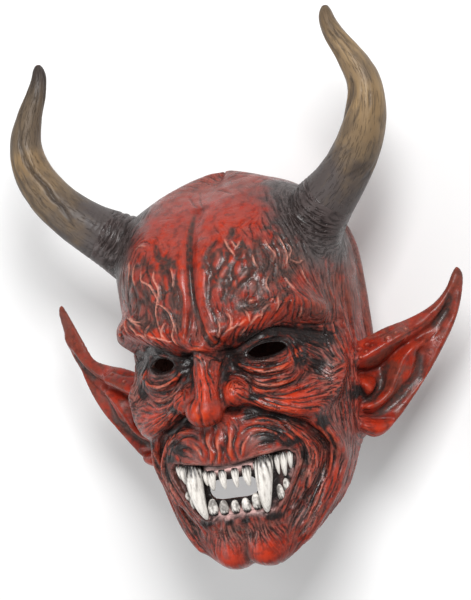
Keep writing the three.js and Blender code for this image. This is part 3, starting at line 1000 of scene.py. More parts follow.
# Which way the finest wrinkles run where no line above leads them.
GRAIN = [
    [(-60, 118, 50), (-62, 95, 60), (-66, 72, 62)],
    [(60, 118, 50), (62, 95, 60), (66, 72, 62)],
    [(80, 80, 0), (80, 40, 0)], [(-80, 80, 0), (-80, 40, 0)],
    [(60, 100, -60), (66, 40, -70), (60, -30, -60)],
    [(-60, 100, -60), (-66, 40, -70), (-60, -30, -60)],
    [(0, 120, -60), (0, 60, -96), (0, 0, -92), (0, -50, -80)],
    [(-20, 130, 30), (0, 132, 34), (20, 130, 30)],
    [(-30, 112, 70), (-12, 116, 74)], [(10, 112, 74), (30, 112, 70)],
]
HORN_RINGS = (25, 31, 38)  # radii of the rings of skin around a horn's root


class Marks:
    """Sculpted lines on a skin: points along each, its width, height and brush, and how strong."""

    FLAT_STEP = 1.5  # millimetres between the points of a line
    ROUND_STEP = 2

    def __init__(self, skin):
        self.skin = skin
        self.paths = []

    def add(self, path, width, height, brush, strength):
        if len(path) > 1:
            self.paths.append((np.array(path), width, height, brush, strength))

    def flat(self, outline, *look):
        steps = max(int(length_of(outline) / self.FLAT_STEP), 2)
        line = smooth_path([(x, y, 0) for x, y in outline], steps)
        self.add(self.skin.in_front(line[:, :2]), *look)

    def round(self, path, *look):
        steps = int(length_of(path) / self.ROUND_STEP)
        self.add(self.skin.nearest(smooth_path(path, steps)), *look)

    def samples(self):
        """Points along all lines, with the ways that they run."""
        places = np.concatenate([path for path, *_ in self.paths])
        ways = np.concatenate([np.gradient(path, axis=0) for path, *_ in self.paths])
        return places, ways / np.maximum(np.linalg.norm(ways, axis=1), 1e-9)[:, None]


def drawn(skin):
    """All given lines, laid on a skin."""
    marks = Marks(skin)
    for width, height, brush, strength, twice, outlines in LINES:
        for outline in outlines:
            marks.flat(outline, width, height, brush, strength)
            if twice:
                marks.flat([(-x, y) for x, y in outline], width, height, brush, strength)
    for width, height, brush, strength, paths in SIDE_LINES:
        for path in paths:
            for side in SIDES:
                marks.round(mirrored(path, side), width, height, brush, strength)
    return marks


def tapered(path, points):
    """How far points are from a line, and its strength there: it dies away towards its two ends."""
    least = np.full(len(points), np.inf)
    share = np.zeros(len(points))
    for i, (start, end) in enumerate(zip(path[:-1], path[1:])):
        leg = end - start
        along = np.clip((points - start) @ leg / max(leg @ leg, 1e-9), 0, 1)
        distance = np.linalg.norm(points - start - along[:, None] * leg, axis=1)
        nearer = distance < least
        least[nearer] = distance[nearer]
        share[nearer] = (i + along[nearer]) / (len(path) - 1)
    return least, np.sin(math.pi * np.clip(share, 0.02, 0.98)) ** 0.5


def near_points(points, path, reach):
    low, high = path.min(axis=0) - reach, path.max(axis=0) + reach
    return np.flatnonzero(np.all((points > low) & (points < high), axis=1))


def hand_lines(marks, warts, points):
    """How far the listed lines lift each point, and how much of each brush's paint covers it."""
    lift = np.zeros(len(points))
    covers = np.zeros((len(BRUSHES), len(points)))
    for path, width, height, brush, strength in marks.paths:
        near = near_points(points, path, 4 * width)
        distance, share = tapered(path, points[near])
        lift[near] += height * share * gauss(distance, width)
        spread = gauss(distance, width * (1.15 if brush == GREY else 0.85))
        covers[brush, near] = np.maximum(covers[brush, near], strength * share * spread)
    for place, radius, height in warts:
        near = near_points(points, place[None], 3 * radius)
        distance = np.linalg.norm(points[near] - place, axis=1)
        moat = gauss(distance - 1.7 * radius, 0.6 * radius)
        lift[near] += height * (gauss(distance, radius) - 0.45 * moat)
        # pale pink on the top of the wart, partly a painted highlight
        covers[VEIN_HIGHLIGHT, near] = np.maximum(covers[VEIN_HIGHLIGHT, near], 0.7 * gauss(distance, 0.8 * radius))
        shade = gauss(distance - 1.6 * radius, 0.5 * radius)
        covers[INK, near] = np.maximum(covers[INK, near], 0.3 * shade)
    return lift, covers


# Fine wrinkles

def spot(points, middle, reach):
    """A round or long patch on the front of the face, 1 in its middle."""
    x, y = points[:, 0] - middle[0], points[:, 1] - middle[1]
    return np.where(points[:, 2] > 20, gauss(x, reach[0]) * gauss(y, reach[1]), 0)


def patches(points, places, mirror):
    spread = np.column_stack([np.abs(points[:, 0]) if mirror else points[:, 0], points[:, 1:]])
    return np.max([spot(spread, *place) for place in places], axis=0)


WRINKLED = [
    ((46, -8), (20, 12)), ((56, -50), (12, 26)), ((64, 12), (10, 26)), ((40, 8), (18, 12)),
    ((40, -84), (12, 20)), ((20, 4), (9, 10)), ((10, -95), (24, 8)), ((72, -10), (10, 40)),
    ((38, -26), (12, 8)),
]
SMOOTH = [
    ((0, 112), (44, 18)), ((14, -110), (12, 8)), ((4, -6), (10, 10)), ((34, 118), (14, 10)),
    ((10, -33), (18, 11)), ((24, 84), (30, 26)), ((4, 80), (8, 30)), ((0, 128), (60, 14)),
    ((16, 0), (6, 5)), ((60, -58), (4, 16)), ((34, 46), (18, 4)), ((50, -8), (9, 5)),
]


def from_root(points, root):
    """How far points are from a place at the foot of the horn on their own side."""
    aside = np.column_stack([np.abs(points[:, 0]), points[:, 1:]])
    return np.linalg.norm(aside - root, axis=1)


def wrinkling(points):
    """How closely fine wrinkles lie at points, from 0 to 1."""
    lined = np.maximum(patches(points, WRINKLED, True), 0.42)
    calm = np.maximum(patches(points, SMOOTH, True), 0.9 * ease(np.abs(points[:, 0]), 78, 85))
    lined = np.maximum(lined, ease(-from_root(points, (72, 107, 30)), -44, -30))
    return lined * (1 - 0.92 * calm)


WRINKLE_ROUNDS = 5
WRINKLE_TRIES = 6000
WRINKLE_GAP = 1.9
WRINKLE_LENGTH = 26
FINE_DEPTH = 0.75


class Grain:
    """Fine wrinkles that follow the nearest lines over the skin."""

    STEP = 0.8
    LEADERS = 10  # how many points of the nearest lines lead it
    STRAY = 0.14  # how much it strays from them at each step
    CELL = 8  # wider than any gap between the starts of two wrinkles
    RING_AT = 10  # hundredths of the horn's length where its rings lie

    def __init__(self, skin, marks, seed):
        self.skin = skin
        self.random = np.random.default_rng(seed)
        guides = Marks(skin)
        guides.paths = list(marks.paths)
        for path in GRAIN:
            guides.round(path, 1, 0, INK, 0)
        for side in SIDES:
            guides.add(smooth_path(mirrored(HORN_PATH, side), 90)[25:], 1, 0, INK, 0)
            for radius in HORN_RINGS:
                guides.add(self.ring(side, radius), 1, 0, INK, 0)
        self.places, self.ways = guides.samples()
        self.tree = tree_of(self.places)

    def ring(self, side, radius):
        """A ring of places on the skin around a horn's root."""
        line = smooth_path(mirrored(HORN_PATH, side), 100)
        normals, binormals = carried_frames(line)
        at = self.RING_AT
        turn = np.linspace(0, 2 * math.pi, 60)[:, None]
        way = np.cos(turn) * normals[at] + np.sin(turn) * binormals[at]
        return self.skin.nearest(line[at] + radius * way)

    def way_at(self, points, normals):
        """The way that the nearest guides run at points, along the surface."""
        found = [self.tree.find_n(p, self.LEADERS) for p in points.tolist()]
        index = np.array([[hit[1] for hit in hits] for hits in found])
        reach = np.array([[hit[2] for hit in hits] for hits in found])
        weight = 1 / (0.5 + reach) ** 2
        ways = self.ways[index]
        turned = np.einsum("pg,pgi,pgj->pij", weight, ways, ways)
        lean = np.linalg.eigh(turned)[1][:, :, -1]
        lean -= normals * np.sum(lean * normals, axis=1)[:, None]
        return lean / np.maximum(np.linalg.norm(lean, axis=1), 1e-6)[:, None]

    def trace(self, starts, length):
        """Paths that start at the given places and run both ways for half the length."""
        found = []
        for sense in (1, -1):
            places = starts.copy()
            heading = None
            trail = [places]
            for _ in range(int(length / 2 / self.STEP)):
                hits = [self.skin.tree.find_nearest(p) for p in places.tolist()]
                places = np.array([hit[0] for hit in hits])
                normals = np.array([hit[1] for hit in hits])
                way = self.way_at(places, normals)
                if heading is None:
                    way *= sense
                else:
                    way *= np.where(np.sum(way * heading, axis=1) < 0, -1, 1)[:, None]
                way += self.random.normal(0, self.STRAY, way.shape)
                heading = way / np.linalg.norm(way, axis=1)[:, None]
                places = places + heading * self.STEP
                trail.append(places)
            found.append(np.array(trail))
        return np.concatenate([found[1][::-1], found[0][1:]])

    def wrinkles(self, candidates, lined):
        """Evenly spread wrinkles: in each round new ones start between those made before, and
        stop near them."""
        paths = []
        for _ in range(WRINKLE_ROUNDS):
            order = self.random.permutation(len(candidates))[:WRINKLE_TRIES]
            order = order[self.random.random(len(order)) < lined[order]]
            starts, apart = candidates[order], WRINKLE_GAP / (0.35 + 0.65 * lined[order])
            made = tree_of(np.concatenate(paths)) if paths else None
            if made:
                free = np.array([made.find(p)[2] for p in starts.tolist()]) > apart
                starts, apart = starts[free], apart[free]
            starts = self.thinned_out(starts, 2.4 * apart)
            trails = self.trace(starts, WRINKLE_LENGTH)
            middle = len(trails) // 2
            for i in range(len(starts)):
                half = self.random.uniform(0.22, 1, 2) * middle
                trail = trails[middle - int(half[0]): middle + int(half[1]) + 1, i]
                if made:
                    close = np.array([made.find(p)[2] for p in trail.tolist()]) < 0.45 * WRINKLE_GAP
                    own = min(int(half[0]), middle)
                    left = np.flatnonzero(close[:own])
                    right = np.flatnonzero(close[own:])
                    start = left[-1] + 1 if len(left) else 0
                    end = own + right[0] if len(right) else None
                    trail = trail[start:end]
                if len(trail) > 5:
                    paths.append(trail)
        return paths

    @staticmethod
    def thinned_out(places, apart):
        """Those places that keep their distance from each other."""
        kept, cells = [], {}
        for i, (place, gap) in enumerate(zip(places, apart)):
            cell = tuple((place // Grain.CELL).astype(int))
            around = [
                n for step in np.ndindex(3, 3, 3)
                for n in cells.get(tuple(np.add(cell, step) - 1), ())
            ]
            if all(np.sum((places[n] - place) ** 2) > gap * gap for n in around):
                kept.append(i)
                cells.setdefault(cell, []).append(i)
        return places[kept]


class FineLines:
    """Wrinkles ready to be pressed into a skin."""

    def __init__(self, paths, random):
        strengths, widths = [], []
        for path in paths:
            share = np.linspace(0.04, 0.96, len(path))
            strength = random.uniform(0.45, 1) * np.sin(math.pi * share) ** 0.5
            strengths.append(strength * ease(wrinkling(path), 0.05, 0.3))
            widths.append(np.full(len(path), random.uniform(0.5, 0.85)))
        self.strengths, self.widths = np.concatenate(strengths), np.concatenate(widths)
        self.places = np.concatenate(paths)
        self.before = np.concatenate([np.concatenate([path[:1], path[:-1]]) for path in paths])
        self.after = np.concatenate([np.concatenate([path[1:], path[-1:]]) for path in paths])
        self.tree = tree_of(self.places)

    def depth_at(self, points):
        """How deep the nearest wrinkle is at each point, from 0 to 1."""
        nearest = np.array([self.tree.find(p)[1] for p in points.tolist()])

        def to_leg(start, end):
            leg = end - start
            square = np.maximum(np.sum(leg * leg, axis=1), 1e-9)
            share = np.clip(np.sum((points - start) * leg, axis=1) / square, 0, 1)
            return np.linalg.norm(points - start - share[:, None] * leg, axis=1)

        here = self.places[nearest]
        distance = np.minimum(to_leg(self.before[nearest], here), to_leg(here, self.after[nearest]))
        return self.strengths[nearest] * gauss(distance, self.widths[nearest])


LATTICE = 32  # cells after which a cloud repeats


def cloud(points, size, seed):
    """Soft random patches of about that size, from 0 to 1."""
    lattice = np.random.default_rng(seed).random((LATTICE,) * 3)
    cell = np.floor(points / size).astype(int)
    share = points / size - cell
    share = share * share * (3 - 2 * share)
    total = 0
    for corner in np.ndindex(2, 2, 2):
        weight = np.prod(np.where(corner, share, 1 - share), axis=1)
        x, y, z = ((cell + corner) % LATTICE).T
        total = total + weight * lattice[x, y, z]
    return total


def clouds(points, size, seed):
    layers = [cloud(points, size / 2**n, seed + n) / 2**n for n in range(3)]
    return sum(layers) / 1.75


ISLAND_SIZE = 7.5
ISLAND_STRETCH = (1, 0.4, 1)
ISLAND_WANDER = 8
ISLAND_GROOVE = 0.55  # how deep the grooves between them are
CRACKLED = [
    ((32, 80), (24, 20)), ((44, 62), (18, 12)), ((-16, 76), (9, 24)), ((-38, 72), (18, 26)),
    ((54, 86), (12, 22)),
]


def crackle(points):
    """Wandering grooves between long islands of skin on the forehead, from 0 to 1 deep."""
    wander = np.column_stack([cloud(points, 10, seed) - 0.5 for seed in (41, 42, 43)])
    places = (points + ISLAND_WANDER * wander) * ISLAND_STRETCH
    random = np.random.default_rng(44)
    corner = places.min(axis=0)
    count = (np.ceil((places.max(axis=0) - corner) / ISLAND_SIZE) + 2).astype(int)
    seeds = np.array(list(np.ndindex(*count))) - 0.5
    seeds = seeds + random.uniform(-0.45, 0.45, (np.prod(count), 3))
    tree = tree_of(corner + seeds * ISLAND_SIZE)
    found = [tree.find_n(place, 2) for place in places.tolist()]
    gap = np.array([second[2] - first[2] for first, second in found])
    width = 1.2 + 0.9 * cloud(points, 16, 45)
    return gauss(gap, width) * ease(patches(points, CRACKLED, False), 0.15, 0.6)


def horn_places(points):
    """For each point the share along the nearest horn, the distance from its middle line over its
    radius, and the turn around it."""
    steps = 160
    line = smooth_path(HORN_PATH, steps)
    normals, binormals = carried_frames(line)
    tangents = np.gradient(line, axis=0)
    along, reach, turn = np.zeros(len(points)), np.full(len(points), 9.0), np.zeros(len(points))
    near = (np.abs(points[:, 0]) > 50) & (points[:, 1] > 85)
    place = points[near]
    place[:, 0] = np.abs(place[:, 0])
    tree = tree_of(line)
    nearest = np.array([tree.find(p)[1] for p in place.tolist()], int)
    off = place - line[nearest]
    tangent = tangents[nearest]
    ahead = np.clip(np.sum(off * tangent, axis=1) / np.sum(tangent * tangent, axis=1), -0.5, 0.5)
    off -= ahead[:, None] * tangent
    along[near] = (nearest + ahead) / steps
    reach[near] = np.linalg.norm(off, axis=1) / horn_radius(along[near])
    rise = np.sum(off * binormals[nearest], axis=1)
    turn[near] = np.arctan2(rise, np.sum(off * normals[nearest], axis=1))
    return along, reach, turn


HORN_RING_COUNT = 46
HORN_FLUTES = ((5, 0.5, 0.3), (8, 0.5, 1.7), (13, 0.35, 4.4), (21, 0.2, 2.2))  # count, depth, turn


def horn_relief(points, along, turn):
    """Flutes along a horn and rings around its root."""
    side = np.sign(points[:, 0])
    drift = 1.1 * np.sin(5 * along + side) + 0.9 * (clouds(points, 26, 31) - 0.5)
    fade = clouds(points, 22, 32)
    flutes = np.zeros(len(points))
    for count, depth, phase in HORN_FLUTES:
        flutes -= depth * np.abs(np.cos(count / 2 * (turn + drift) + phase + side)) ** 10
    flutes *= ease(along, 0.22, 0.4) * (1 - 0.4 * ease(along, 0.85, 1)) * ease(fade, 0.3, 0.6)
    wobble = 1.6 * np.sin(turn + side) + 0.9 * np.sin(3 * turn) + 7 * clouds(points, 18, 33)
    rings = np.abs(np.cos(math.pi * along * HORN_RING_COUNT + wobble)) ** 6
    at_root = ease(along, 0.05, 0.1) * ease(-along, -0.27, -0.15)
    rings *= at_root * ease(clouds(points, 9, 34), 0.35, 0.6)
    return flutes - 0.75 * rings, ease(-flutes, 0.15, 0.6) + 0.8 * rings


# Paint

def colour(code):
    """A colour as linear red, green and blue from its usual six digits."""
    parts = np.array([int(code[i: i + 2], 16) for i in (0, 2, 4)]) / 255
    return np.where(parts <= 0.04045, parts / 12.92, ((parts + 0.055) / 1.055) ** 2.4)


RED = colour("992410")
DEEP_RED = colour("721c12")
BRIGHT_RED = colour("c0320f")
ORANGE = colour("c4522c")
PINK_RED = colour("ca8b7a")
BROWN_RED = colour("6c3a2f")
MAUVE = colour("77524e")
GREY_BROWN = colour("5c4843")
GROOVE_BROWN = colour("402f2b")
CHARCOAL = colour("1c1717")
FADED_INK = colour("211715")
BLACK = colour("151011")
GUM_PINK = colour("edc0ba")
RAW_LATEX = colour("4c2f28")
HORN_OCHRE = colour("7f684b")
HORN_TAN = colour("9c825f")
HORN_GREY = colour("5c5044")
HORN_DARK = colour("3a3331")
ROOT_GREY = colour("4b4443")
TOOTH_IVORY = colour("e9e4dd")
TOOTH_GREY = colour("a39a92")
TOOTH_DARK = colour("3a3432")


def layered(base, *layers):
    """Paint laid over a base: each layer is a colour and how much of it covers each vertex."""
    for over, cover in layers:
        base = base + np.clip(cover, 0, 1)[:, None] * (over - base)
    return base


GREY_PATCHES = [
    ((44, 66), (11, 9)), ((16, 49), (9, 6)), ((32, 57), (11, 6)), ((-44, 70), (10, 14)),
    ((-12, 66), (4, 12)), ((-40, 58), (12, 6)), ((-16, 52), (10, 8)), ((-52, 84), (7, 16)),
    ((56, 76), (7, 16)), ((-58, 76), (8, 14)), ((66, 84), (7, 12)), ((0, -90), (22, 4)),
]
# Charcoal: around the eyes it is the mask's own black paint; in the hollows beside the nose, around
# the mouth, under the lower lip and at the ear it is partly painted shade.
DARK_PATCHES = [
    ((40, 34), (22, 8.5)), ((17, 27), (10, 7)), ((59, 27), (12, 10)), ((20, 20), (10, 9)),
    ((67, 24), (9, 9)), ((57, 15), (5, 9)), ((62, -30), (4, 7)), ((24, -14), (10, 5)),
    ((12, 14), (3, 9)), ((34, -31), (11, 6)), ((44, -38), (8, 4)), ((24, -84), (8, 4)),
    ((6, -84), (5, 3)), ((78, -18), (6, 7)), ((36, -20), (11, 4)), ((29, -4), (6, 4)),
    ((64, 8), (6, 8)), ((50, -48), (3, 9)),
]
# Places that stay clean and bright: brows, nose, cheeks, lobes of the chin, the upper forehead.
CLEAN_PATCHES = [
    ((-32, 47), (20, 5)), ((36, 47), (18, 4)), ((0, 8), (9, 14)), ((-1, -8), (10, 9)),
    ((17, 5), (6, 6)), ((50, -10), (14, 6)), ((-50, -8), (14, 8)), ((13, -107), (12, 10)),
    ((-13, -107), (12, 10)), ((-24, 104), (20, 16)), ((20, 108), (15, 10)), ((-30, 82), (7, 12)),
    ((28, 88), (5, 8)), ((60, -58), (6, 20)), ((-60, -58), (5, 18)), ((-5, 88), (5, 20)),
    ((8, 78), (4, 18)),
]
MAUVE_PATCHES = [
    ((44, -74), (9, 18)), ((0, -92), (28, 9)), ((34, -88), (9, 8)), ((30, -30), (12, 7)),
    ((50, -52), (5, 12)), ((0, -108), (3, 8)), ((70, 12), (6, 16)), ((66, -52), (8, 22)),
    ((0, 26), (10, 4)),
]


def in_pocket(points):
    """How far points lie on the gums inside the lips."""
    x, y, z = points.T
    depth = GUM_FRONT * np.sqrt(np.clip(1 - (x / GUM_ACROSS) ** 2, 0.05, 1))
    within = ease(z, depth - 5, depth - 2) * ease(-z, -depth - 3.2, -depth - 1.6)
    return within * ease(-np.abs(x), -50, -47) * ease(y, -84, -81) * ease(-y, 40, 42)


def eye_rim(points):
    """1 at the edge of the eye slits, fading outwards."""
    aside = np.column_stack([np.abs(points[:, 0]), points[:, 1], 0 * points[:, 0]])
    rim = smooth_path([(x, y, 0) for x, y in [*EYE_SLIT, EYE_SLIT[0]]], 24)
    rim_gap = distance_to(rim, aside)
    return ease(-rim_gap, -4.5, -1.2) * (points[:, 2] > 50)


def root_wash(points):
    """Charcoal around the roots of the horns, from 0 to 1."""
    uneven = 18 * (clouds(points, 14, 11) - 0.5) + 8 * (clouds(points, 4, 12) - 0.5)
    return ease(uneven - from_root(points, (74, 109, 31)), -54, -32)


def lip_rim(points):
    """1 along the edges of the lips, fading outwards."""
    line = smooth_path([(x, y, 0) for x, y in [*both_sides(LIPS), both_sides(LIPS)[0]]], 80)
    near = ease(-distance_to(line, points * (1, 1, 0)), -3.6, -1.6)
    return near * (points[:, 2] > MOUTH_DEPTH)


def painted(points, look):
    """The colour of each vertex, from its place, how it bulges or dips, and the lines in it,
    and how red it is. Raised forms get a painted highlight."""
    x, y, z = points.T
    aside = np.abs(x)
    mottle = clouds(points, 14, 11)
    speck = clouds(points, 4, 12)
    fleck = clouds(points, 2, 13)
    fine = ease(look["fine"], 0.12, 0.55)
    # Dark wash in the dips of the surface: partly paint settled in the creases, partly painted
    # shade in the hollows.
    dips = np.maximum(ease(-look["near"], 0.03, 0.18), ease(-look["middle"], 0.12, 0.75))
    deep = np.clip(np.maximum(ease(look["ink"], 0.1, 0.7), 0.92 * dips), 0, 1)
    # Painted highlight on raised forms, laid on in orange below, more of it on the front of the
    # face.
    high = ease(look["middle"], 0.08, 0.7) * (1 - np.maximum(deep, fine))
    front = ease(z, 20, 60)
    low = ease(-y, -56, -36)
    chin = ease(-y, 78, 86) * ease(-aside, -40, -25)
    temple = ease(aside, 62, 78) * ease(y, 10, 50)
    temple = np.maximum(temple, ease(aside, 50, 62) * ease(y, 60, 78))
    # Brown-red on the temples, the top of the crown and the back of the head: partly paint, partly
    # painted shade where the head turns away from the front.
    brown_and_shade = np.maximum(temple * 0.95, ease(y, 120, 136) * 0.6)
    brown_and_shade = np.maximum(brown_and_shade, ease(-z, -25, 20) * 0.8) * ease(speck + 0.5 * mottle, 0.22, 0.7)
    root_dark = root_wash(points)
    clean = patches(points, CLEAN_PATCHES, False)
    settled = ease(-look["middle"], -0.32, 0.06) * (1 - 0.85 * clean) * front
    grey = np.maximum(patches(points, GREY_PATCHES, False), 0.7 * settled * ease(-y, -70, -55))
    grey *= ease(speck + 0.3 * fleck, 0.34, 0.62)
    groove = ease(look["grey"], 0.15, 0.6) * (0.7 + 0.3 * ease(fleck, 0.3, 0.6))
    dark = patches(points, DARK_PATCHES, True) + 0.5 * (fleck - 0.5) + 0.3 * (speck - 0.5)
    dark = np.maximum(ease(dark - 0.5 * high, 0.3, 0.75), eye_rim(points))
    mauve = patches(points, MAUVE_PATCHES, True) * ease(speck, 0.2, 0.55)
    # A pale mauve over the upper forehead that also dulls its bright red: partly paint, partly a
    # painted sheen.
    mauve_sheen = front * ease(y, 55, 75)
    mauve = np.maximum(mauve, 0.48 * mauve_sheen * ease(speck, 0.25, 0.65))
    lobe = gauss(aside - 81, 9) * gauss(y + 47, 5)
    tragus = gauss(aside - 80, 5) * gauss(y + 15, 5)
    bright_ear = np.maximum(lobe, tragus) * ease(aside, 74, 79) * ease(-z, -32, -26)
    dabs = ease(clouds(points, 9, 15) + 0.4 * (fleck - 0.5), 0.45, 0.62)
    ear_dabs = (1 - bright_ear) * ease(aside, 80, 88) * dabs * (1 - 0.5 * high)
    bright = np.maximum(0.85 * clean * (1 - 0.35 * mauve_sheen), 0.9 * bright_ear)
    ink_and_shade = deep * (0.65 + 0.35 * ease(speck, 0.25, 0.6))
    rim = lip_rim(points)
    # Pink at the corners of the mouth: a painted wet highlight.
    corner = patches(points, [((49, -52), (4, 10))], True) * ease(fleck + 0.4 * speck, 0.55, 0.8)
    skin = layered(
        RED + 0 * points,
        (DEEP_RED, ease(mottle, 0.35, 0.7) * 0.5),
        (BRIGHT_RED, np.maximum(ease(speck, 0.5, 0.8) * 0.5, bright)),
        # brown-red, partly painted shade on the temples, crown and back
        (BROWN_RED, np.maximum(brown_and_shade, 0.8 * ear_dabs)),
        (MAUVE, np.maximum(mauve * 0.8, rim * 0.85)),
        # painted highlight on raised forms
        (ORANGE, high * (1 - 0.7 * brown_and_shade) * (0.25 + 0.35 * front) * (1 - rim)),
        (GREY_BROWN, grey * (0.9 - 0.35 * high)),
        (GROOVE_BROWN, groove),
        # pale pink on raised lines, partly a painted highlight
        (PINK_RED, ease(look["vein_highlight"], 0.2, 0.8) * 0.85),
        # painted wet highlight at the mouth corners
        (PINK_RED, corner * 0.6),
        # charcoal, partly painted shade in the hollows
        (CHARCOAL, dark),
        (ROOT_GREY, root_dark * 0.96),
        (FADED_INK, fine * (0.85 + 0.15 * speck) * (0.7 + 0.3 * low) * (1 - 0.5 * chin)),
        # black in the creases and dips, partly painted shade
        (BLACK, ink_and_shade * (0.45 + 0.15 * front + 0.3 * front * low * (1 - chin))),
    )
    pocket = in_pocket(points)
    ridge_pink = gauss(y + 48.6 - 0.6 * np.cos(x / 2.2), 2.1) * ease(-aside, -19, -17)
    ridge_pink = np.maximum(ridge_pink, 0.9 * gauss(y + 78, 2) * ease(-aside, -22, -17))
    flesh = np.maximum(ease(aside, 30, 36), ease(-y, 72, 77))
    pink = np.maximum(ridge_pink, 0.5 * flesh * ease(fleck, 0.55, 0.75))
    gums = layered(
        CHARCOAL + 0 * points,
        (MAUVE, ease(speck, 0.3, 0.6) * 0.85 * flesh),
        (GUM_PINK, pink * ease(speck + 0.5 * fleck, 0.22, 0.5)),
        # black in the dips of the gums, partly painted shade
        (BLACK, deep * 0.7),
    )
    skin += pocket[:, None] * (gums - skin)
    outer = ease(look["outer"], 0.3, 0.7)
    skin += (1 - outer)[:, None] * (RAW_LATEX - skin)
    red = (1 - root_dark) * (1 - pocket) * (1 - 0.8 * dark) * outer
    return skin, red


def painted_horn(points, look):
    """The colour of each vertex of a horn: streaked along it, with charcoal at its root."""
    along, _, turn = horn_places(points)
    x = points[:, 0]
    patch = clouds(points, 24, 14)
    mottle = clouds(points, 12, 11)
    speck = clouds(points, 5, 12)
    groove = look["ink"]
    streak = np.zeros(len(points))
    for count, share, phase in ((4, 0.4, 0.4), (7, 0.3, 1.9), (12, 0.2, 4.1)):
        wave = count * turn + phase + 1.8 * np.sin(6 * along + phase) + 2.5 * mottle
        streak += share * np.cos(wave)
    horn = layered(
        HORN_OCHRE + 0 * points,
        (HORN_TAN, ease(patch + 0.2 * streak, 0.4, 0.8) * 0.85),
        (HORN_GREY, ease(mottle - 0.2 * streak, 0.5, 0.9) * 0.75),
        (HORN_GREY, ease(-along, -0.58, -0.34) * (0.4 + 0.6 * speck)),
        (HORN_DARK, ease(clouds(points, 16, 16) + 0.25 * streak, 0.58, 0.8) * 0.45),
        (HORN_DARK, groove * 0.4),
        (ROOT_GREY, ease(-along + 0.3 * (patch - 0.5) + 0.12 * (speck - 0.5), -0.42, -0.22) * 0.97),
        (HORN_GREY, ease(along + 0.25 * (patch - 0.5), 0.6, 0.72) * np.where(x < 0, 0.85, 0.25)),
        (HORN_DARK, ease(along, 0.82, 0.97) * np.where(x < 0, 0.9, 0.35)),
        (BLACK, groove * 0.3),
    )
    return horn + (1 - ease(look["outer"], 0.3, 0.7))[:, None] * (RAW_LATEX - horn)


def add_values(mesh, name, values):
    """A named colour, value or way on each vertex of a mesh."""
    if name == "paint":
        kind, field = "FLOAT_COLOR", "color"
        values = np.column_stack([values, np.ones(len(values))])
    elif values.ndim == 1:
        kind, field = "FLOAT", "value"
    else:
        kind, field = "FLOAT_VECTOR", "vector"
    layer = mesh.attributes.new(name, kind, "POINT")
    layer.data.foreach_set(field, np.ascontiguousarray(values, float).ravel())


def take_values(mesh, names):
    """The named values of a mesh's vertices, which it then no longer carries."""
    taken = {}
    for name in names:
        values = np.empty(len(mesh.vertices))
        mesh.attributes[name].data.foreach_get("value", values)
        mesh.attributes.remove(mesh.attributes[name])
        taken[name] = values
    return taken


FREE_LEVELS = 20  # steps in which the freedom of vertices is told apart


def thinned(mesh, triangles, free):
    """The mesh with fewer triangles: vertices go first where free is near 1."""
    piece = linked(mesh.name, mesh)
    group = piece.vertex_groups.new(name="free")
    levels = np.rint(free * FREE_LEVELS).astype(int)
    for level in np.unique(levels):
        group.add(np.flatnonzero(levels == level).tolist(), level / FREE_LEVELS, "REPLACE")
    modifier = piece.modifiers.new("thin", "DECIMATE")
    modifier.ratio = min(triangles / sum(len(face.vertices) - 2 for face in mesh.polygons), 1)
    modifier.vertex_group = "free"
    modifier.vertex_group_factor = 1
    modifier.use_collapse_triangulate = True
    return evaluated(piece)


LOOK = ("ink", "grey", "vein_highlight", "fine", "near", "middle", "outer")  # what the paint follows
FINE_VOXEL = 0.9
SKIN_TRIANGLES = 196_000
HORN_TRIANGLES = 60_000


def soften_lips(skin):
    """Round the cut edges of the mouth."""
    line = smooth_path([(x, y, 0) for x, y in both_sides(LIPS)], 60)
    off = distance_to(line, skin.points * (1, 1, 0))
    soft = ease(-off, -7, -3) * (skin.points[:, 2] > MOUTH_DEPTH)
    skin.points += soft[:, None] * (skin.smooth(skin.points, 14) - skin.points)


def outer_face(base, normals, along, reach, is_horn):
    """1 on the outer face of the casting and 0 on its lining."""
    if is_horn:
        return (reach > 0.88).astype(float)
    facing = np.sum(directions_of(base) * normals, axis=1)
    at_horn = (reach < 1.25) & (along > 0.1)
    on_head = (facing > -0.25) | (np.abs(base[:, 0]) > EAR_ALONE)
    return np.where(at_horn, reach > 0.86, on_head).astype(float)


